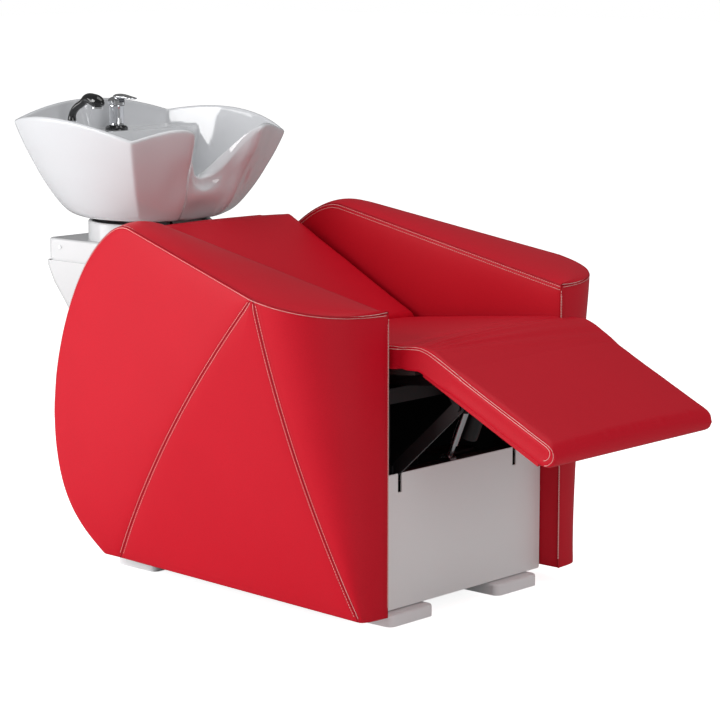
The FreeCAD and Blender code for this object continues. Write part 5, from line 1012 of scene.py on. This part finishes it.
# The corners of the rim stand at CORNER_X to each side, front and rear, at these heights.
CORNER_X = 0.225
CORNER_FRONT_Y, CORNER_FRONT_Z = 0.729, 0.884
CORNER_REAR_Y, CORNER_REAR_Z = 1.092, 0.912
BASIN_MIDDLE = 0.915 + FRONT
BASIN_FOOT = 0.118
BASIN_BASE = 0.705
DECK_Z = 0.884
DECK_EDGE = 1.004 + FRONT
DECK_EASE = 0.030
WALL_WIDTH, LIP_WIDER = 0.013, 0.033
ROLL_RISE, LIP_RISE, LIP_FALL = 0.0055, 0.0055, 0.010
TILT_CLEARANCE = 0.003
INNER_REACH = 0.86
FLOOR_AT = 0.20
strainer_low, strainer_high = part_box("waste_strainer")
DRAIN = (strainer_low + strainer_high) / 2
BOWL_FLOOR = strainer_low.z + 0.0012
front_rim = np.array([(0, 756, 794), (31, 745, 806), (45, 734, 821), (57, 725, 837), (65, 717, 850),
                      (73, 706, 865), (80, 695, 878), (88, 684, 890), (100, 676, 899), (117, 680, 904),
                      (140, 690, 904), (180, 710, 896), (225, 729, 884)]) / 1000.0
front_rim[:, 1] += FRONT


def window(reach, width):
    """The weights of a bell over the neighbours up to reach, which come to one."""
    weights = np.exp(-0.5 * (np.arange(-reach, reach + 1) / width) ** 2)
    return weights / weights.sum()


def half_rim(count):
    """The rim's edge from the middle of the lip to the middle of the rear, at x above nought.

    Front: a spline through measured points. Side: from corner to corner, bowed out by 36 mm
    and arched by 24 mm. Rear: bowed by 18 mm and arched by 34 mm. The corners are rounded by
    averaging along the edge.
    """
    front = clamped_spline(front_rim, (1.0, -0.12, 0.10), (0.045, 0.021, -0.012), 400)
    w = np.linspace(0, 1, 500)
    side = np.stack([CORNER_X + 0.036 * 4 * w * (1 - w),
                     CORNER_FRONT_Y + FRONT + (CORNER_REAR_Y - CORNER_FRONT_Y) * w,
                     CORNER_FRONT_Z + (CORNER_REAR_Z - CORNER_FRONT_Z) * w
                     + 0.0244 * 4 * w * (1 - w)], -1)
    rear_x = CORNER_X * (1 - np.linspace(0, 1, 300))
    bowed = 1 - (rear_x / CORNER_X) ** 2
    rear = np.stack([rear_x, CORNER_REAR_Y + FRONT + 0.018 * bowed, CORNER_REAR_Z + 0.034 * bowed], -1)
    edge = np.concatenate([front, side[1:], rear[1:]])
    far = distances(edge)
    edge = path_at(edge, far, np.linspace(0, far[-1], 2401))
    ring = np.concatenate([edge, (edge[1:] * [-1, 1, 1])[::-1][1:]])
    padded = np.concatenate([ring[-60:], ring, ring[:60]])
    ring = np.stack([np.convolve(column, window(60, 5.2), "valid") for column in padded.T], -1)
    return ring[np.linspace(0, len(edge) - 1, count).round().astype(int)]


right_rim = half_rim(161)
rim = np.concatenate([right_rim, right_rim[1:-1][::-1] * [-1, 1, 1]])
outline_in = unit(np.array([0.0, BASIN_MIDDLE]) - rim[:, :2])
foot = np.array([0.0, BASIN_MIDDLE]) - outline_in * BASIN_FOOT

# The wall outside: k runs from the rim to the foot, and the height falls along a measured
# curve. The lip's wall swells into a throat below it, 15 mm at a height of 764 mm, with a valley
# under each ear, 9 mm deep at x 94 and a height of 800 mm.
fall_points = [(0.0, 1.0), (0.05, 0.885), (0.13, 0.735), (0.22, 0.590), (0.32, 0.435),
               (0.43, 0.290), (0.55, 0.155), (0.67, 0.058), (0.78, 0.014), (1.0, 0.0)]
fall_curve = clamped_spline(fall_points, (0.30, -1.0), (1.0, 0.0), 600)
k = np.linspace(0.0, 1.0, 56) ** 1.2
fall = np.interp(k, fall_curve[:, 0], fall_curve[:, 1])
outer_xy = rim[:, None, :2] + (foot - rim[:, :2])[:, None, :] * k[None, :, None]
wall_z = BASIN_BASE + (rim[:, 2] - BASIN_BASE)[:, None] * fall[None]
wall_length = np.linalg.norm(foot - rim[:, :2], axis=1)[:, None]
# The underside lifts 3 mm outside the foot, so that it clears the collar when it tilts.
wall_z += TILT_CLEARANCE * np.clip((1 - k)[None] * wall_length / 0.012, 0, 1) * (1 - fall)[None]
is_front = np.clip((BASIN_MIDDLE - rim[:, 1]) / 0.10, 0, 1)[:, None]
below = rim[:, 2:3] - wall_z
x_out = np.abs(outer_xy[..., 0])
valley = (0.009 * np.exp(-((x_out - 0.094) / 0.026) ** 2 - ((wall_z - 0.800) / 0.045) ** 2)
          * np.clip(below / 0.060, 0, 1) ** 1.5)
throat = (0.015 * np.exp(-(x_out / 0.050) ** 2 - ((wall_z - 0.764) / 0.026) ** 2)
          * np.clip(below / 0.022, 0, 1) ** 1.2)
outer_xy[..., 1] += (valley - throat) * is_front
outer = np.concatenate([outer_xy, wall_z[..., None]], -1)
# Below each ear the wall's edge softens: a column's points move to the average of theirs and
# their neighbours', weighed by a bell 3.2 columns wide, fully from a third of the way down.
eased = np.zeros_like(outer)
for step, weight in zip(range(-12, 13), window(12, 3.2)):
    eased += weight * np.roll(outer, step, axis=0)
by_ear = np.exp(-((np.abs(rim[:, 0]) - 0.080) / 0.055) ** 4)[:, None] * is_front
outer += (eased - outer) * (by_ear * np.clip(k / 0.33, 0, 1)[None] ** 0.8)[..., None]
outer = outer[:, ::-1]

# The rim is rolled over: half an ellipse as wide as the wall, 13 mm, and 46 mm at the lip. over
# is the share of the way across.
lip = np.exp(-(rim[:, 0] / 0.074) ** 4) * (rim[:, 1] < BASIN_MIDDLE)
width = WALL_WIDTH + LIP_WIDER * lip
rise = ROLL_RISE + LIP_RISE * lip
roll = np.linspace(0, np.pi, 15)[None, 1:-1]
over = (1 - np.cos(roll)) / 2
rolled_xy = rim[:, None, :2] + outline_in[:, None, :] * (width[:, None] * over)[..., None]
rolled_z = rim[:, 2:3] + rise[:, None] * np.sin(roll) - (LIP_FALL * lip)[:, None] * over
rolled = np.concatenate([rolled_xy, rolled_z[..., None]], -1)

# Inside: the wall follows the outer one, a wall's width further in, and runs out into the
# bowl's floor, which falls a little to the drain. A level deck stands across the rear.
inner_edge = rim[:, :2] + outline_in * width[:, None]
inner_edge_z = rim[:, 2] - LIP_FALL * lip
drain = np.array([DRAIN.x, DRAIN.y])
m = np.linspace(0.0, 1.0, 58)[None] ** 1.1
inner_wall = inner_edge[:, None, :] + outline_in[:, None, :] * (wall_length * m * INNER_REACH)[..., None]
above = np.interp(m * INNER_REACH, fall_curve[:, 0], fall_curve[:, 1])
above = (above - FLOOR_AT) / (1 - FLOOR_AT)
above = (above + np.sqrt(above ** 2 + 0.010)) / 2
onward = np.linspace(0.0, 1.0, 22)[1:]
inner_floor = inner_wall[:, -1:, :] + (drain - inner_wall[:, -1])[:, None, :] * onward[None, :, None]
inner_xy = np.concatenate([inner_wall, inner_floor], axis=1)
level = np.concatenate([above, above[:, -1:] * (1 - onward[None])], axis=1)
bowl_z = BOWL_FLOOR + (inner_edge_z[:, None] - BOWL_FLOOR) * level / above[0, 0]
deck_share = np.clip((inner_xy[..., 1] - (DECK_EDGE - DECK_EASE)) / DECK_EASE, 0.0, 1.0)
deck_rise = soft_step(deck_share)
deck_z = BOWL_FLOOR + (DECK_Z - BOWL_FLOOR) * deck_rise
inner_z = np.where(deck_share >= 1.0, np.maximum(bowl_z, DECK_Z), np.maximum(bowl_z, deck_z))
inner = np.concatenate([inner_xy, inner_z[..., None]], -1)
base_middle = np.tile(np.array([0.0, BASIN_MIDDLE, BASIN_BASE]), (len(rim), 1, 1))
basin_points = np.concatenate([base_middle, outer, rolled, inner], axis=1)
basin_shell = merged(grid_mesh("basin_shell", basin_points, wrap_rows=True), 1e-5)
basin_shell.data.materials.append(glaze.material)
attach(basin_shell, "basin_unit")
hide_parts("basin")


# ---------------------------------------------------------------- hard parts
# Everything else keeps its shape: painted frame tubes, chrome fittings and moulded shells.
# Each kind has one finish, put on every part of that material.

def speckled(name, colour, rough, scale, height, **uniform):
    """A plain finish with a fine even texture, slightly uneven in gloss."""
    finish = Finish(name, Base_Color=(*colour, 1.0), **uniform)
    grain = finish.noise(scale, 3.0, 0.55)
    haze = finish.noise(6.0, 3.0, 0.5)
    finish.drive("Roughness", rough + haze * 0.10 - 0.05)
    finish.relief(grain * height)
    return finish


powder_black = speckled("frame_powder_coat", (0.0075, 0.0075, 0.0085), 0.46, 900.0, 0.00004)
zinc = speckled("zinc_plate", (0.62, 0.63, 0.65), 0.26, 400.0, 0.000008, Metallic=1.0)
chrome = speckled("chrome_plate", (0.80, 0.81, 0.83), 0.05, 30.0, 0.000003, Metallic=1.0)
light_panel = speckled("panel_lacquer", (0.86, 0.87, 0.87), 0.38, 500.0, 0.000012)
foot_grey = speckled("foot_moulding", (0.90, 0.90, 0.91), 0.45, 700.0, 0.00002)
black_moulding = speckled("black_moulding", (0.016, 0.016, 0.017), 0.38, 800.0, 0.00002)
gloss_moulding = speckled("gloss_black_moulding", (0.008, 0.008, 0.009), 0.10, 40.0, 0.000004,
                          Coat_Weight=0.6, Coat_Roughness=0.05)
white_moulding = speckled("white_shell_moulding", (0.62, 0.625, 0.635), 0.22, 60.0, 0.00001,
                          Coat_Weight=0.25, Coat_Roughness=0.12)

stained_board = Finish("plywood_stained", Coat_Weight=0.1)
grain = stained_board.node("ShaderNodeTexWave", {"wave_type": "BANDS", "bands_direction": "Z"},
                           {"Vector": stained_board.place, "Scale": 60.0, "Distortion": 6.0,
                            "Detail": 3.0})
stained_board.drive("Base Color", stained_board.mix(grain * 0.6, (0.013, 0.012, 0.012, 1.0),
                                                    (0.030, 0.026, 0.023, 1.0)))
stained_board.drive("Roughness", 0.55 + grain * 0.1)
stained_board.relief(grain * 0.0001)

finishes = {
    powder_black: ["base_frame", "seat_cross_member", "back_cross_member", "rear_post_left",
                   "rear_post_right", "front_post_left", "front_post_right", "seat_rail_left",
                   "seat_rail_right", "legrest_plates", "stay_arm_left", "stay_arm_right",
                   "cross_tube", "actuator_hanger", "panel_standoffs", "basin_column",
                   "actuator_motor", "hinge_pins", "arm_pins"],
    zinc: ["foot_screws", "guide_pins", "actuator_tube", "actuator_rod", "actuator_pin",
           "cover_screws", "tilt_pins"],
    chrome: ["spray_plate", "mixer_body", "mixer_cap", "mixer_lever", "handset_collar",
             "handset_socket", "waste_strainer", "water_inlets"],
    light_panel: ["front_panel", "rear_panel"],
    foot_grey: ["feet", "waste_outlet", "waste_tail"],
    black_moulding: ["control_box", "mains_inlet", "switch_bezel", "switch_rocker"],
    gloss_moulding: ["handset_grip", "mixer_ring"],
    white_moulding: ["pedestal_shell", "pedestal_head", "basin_collar", "basin_plate"],
    stained_board: ["seat_pan", "back_board", "side_panel_left_board", "side_panel_right_board"],
}
# the legrest's board is wrapped in the same hide as its pad
nodes["legrest_board"].data.materials.clear()
nodes["legrest_board"].data.materials.append(plain_hide)
for finish, names in finishes.items():
    for name in names:
        nodes[name].data.materials.clear()
        nodes[name].data.materials.append(finish.material)


# ---------------------------------------------------------------- taps
# A single-lever mixer in chrome: a plain body, and a broad lever like a bill over its cap.
# The hand shower is one slender curved moulding, gloss black, that widens to its head.

def turned_form(name, profile, x, y, count=64):
    """A turned piece: a profile of radii and heights carried round the axis at x, y."""
    radius, height = np.array(profile).T
    angle = np.arange(count) * 2 * np.pi / count
    points = np.stack([x + radius[:, None] * np.cos(angle), y + radius[:, None] * np.sin(angle),
                       np.tile(height[:, None], (1, count))], -1)
    return merged(grid_mesh(name, points, wrap_columns=True), 1e-6)


body_low, body_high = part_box("mixer_body")
tap_x, tap_y = (body_low.x + body_high.x) / 2, (body_low.y + body_high.y) / 2
body_radius, foot_z = (body_high.x - body_low.x) / 2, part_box("mixer_ring")[1].z
tall = body_high.z - foot_z
shares = [(0.0, 0.0), (0.93, 0.0), (0.965, 0.006), (0.965, 0.05), (0.94, 0.065), (0.93, 0.12),
          (0.905, 0.35), (0.905, 0.55), (0.93, 0.76), (0.98, 0.88), (1.0, 0.93), (1.0, 0.985),
          (0.97, 1.0), (0.0, 1.0)]
profile = [(body_radius * r, foot_z + tall * h) for r, h in shares]
mixer_form = turned_form("mixer_body_form", profile, tap_x, tap_y)
mixer_form.data.materials.append(chrome.material)
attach(mixer_form, "basin_unit")
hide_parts("mixer_body")


def swept(name, spine, half_wide, half_high, x, sides=40, power=2.0):
    """A closed form along a spine in the plane at x: superellipses across it.

    spine has y and z in metres. half_wide and half_high are the half axes along x and at
    right angles to the spine, one value for each point of it.
    """
    way = unit(np.gradient(spine, axis=0))
    square = np.stack([-way[:, 1], way[:, 0]], -1)
    angle = np.arange(sides) * 2 * np.pi / sides
    c, s = np.cos(angle), np.sin(angle)
    c = np.sign(c) * np.abs(c) ** (2 / power)
    s = np.sign(s) * np.abs(s) ** (2 / power)
    points = np.empty((len(spine), sides, 3))
    points[..., 0] = x + half_wide[:, None] * c
    points[..., 1] = spine[:, None, 0] + square[:, None, 0] * half_high[:, None] * s
    points[..., 2] = spine[:, None, 1] + square[:, None, 1] * half_high[:, None] * s
    ends = np.repeat(points.mean(1, keepdims=True)[[0, -1]], sides, axis=1)
    points = np.concatenate([ends[:1], points, ends[1:]])
    return merged(grid_mesh(name, points, wrap_columns=True), 1e-6)


lever_low, lever_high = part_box("mixer_lever")
reach = lever_high.y - lever_low.y
lever_knots = [(1.00, 0.30, 0.004, 0.0020), (0.95, 0.52, 0.008, 0.0046), (0.82, 0.64, 0.0115, 0.0062),
               (0.62, 0.66, 0.0128, 0.0058), (0.40, 0.62, 0.0122, 0.0042), (0.18, 0.55, 0.0110, 0.0028),
               (0.04, 0.50, 0.0085, 0.0018), (0.00, 0.48, 0.0040, 0.0010)]
lever_knots = [(lever_low.y + reach * y, lever_low.z + (lever_high.z - lever_low.z) * z, w, h)
               for y, z, w, h in lever_knots]
lever_curve = clamped_spline(lever_knots, (-1.0, 0.8, 0.4, 0.3), (-1.0, -0.3, -0.9, -0.1), 70)
lever_form = swept("mixer_lever_form", lever_curve[:, :2], np.maximum(lever_curve[:, 2], 0.0005),
                   np.maximum(lever_curve[:, 3], 0.0004), tap_x, power=2.3)
lever_form.data.materials.append(chrome.material)
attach(lever_form, "mixer_handle")
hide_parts("mixer_lever")

grip_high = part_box("handset_grip")[1]
collar_low, collar_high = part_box("handset_collar")
spray_low, spray_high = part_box("spray_plate")
grip_x, grip_y = (collar_low.x + collar_high.x) / 2, (collar_low.y + collar_high.y) / 2
spray_y = (spray_low.y + spray_high.y) / 2
up_to = grip_high.z - collar_high.z
knots = [(grip_y, collar_high.z - 0.001, 0.0092),
         (grip_y - 0.001, collar_high.z + up_to * 0.16, 0.0082),
         (grip_y - 0.013, collar_high.z + up_to * 0.44, 0.0079),
         (grip_y - 0.038, collar_high.z + up_to * 0.68, 0.0084),
         (grip_y * 0.45 + spray_y * 0.55 - 0.004, grip_high.z - 0.0125, 0.0100),
         (spray_y + 0.010, grip_high.z - 0.0140, 0.0134),
         (spray_y - 0.007, grip_high.z - 0.0190, 0.0122),
         (spray_y - 0.0155, spray_high.z + 0.0030, 0.0050)]
curve = clamped_spline(knots, (0.0, 1.0, -0.02), (-0.5, -1.0, -0.9), 90)
handset_form = swept("handset_grip_form", curve[:, :2], np.maximum(curve[:, 2], 0.0008) * 1.06,
                     np.maximum(curve[:, 2], 0.0008), grip_x)
points = mesh_values(handset_form.data, "co")
under_head = np.abs(points[:, 1] - spray_y) < 0.020
lowest = np.where(under_head, spray_high.z - 0.0003, -np.inf)
points[:, 2] = np.maximum(points[:, 2], lowest)
move_points(handset_form.data, points)
handset_form.data.materials.append(gloss_moulding.material)
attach(handset_form, "handset")
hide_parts("handset_grip")
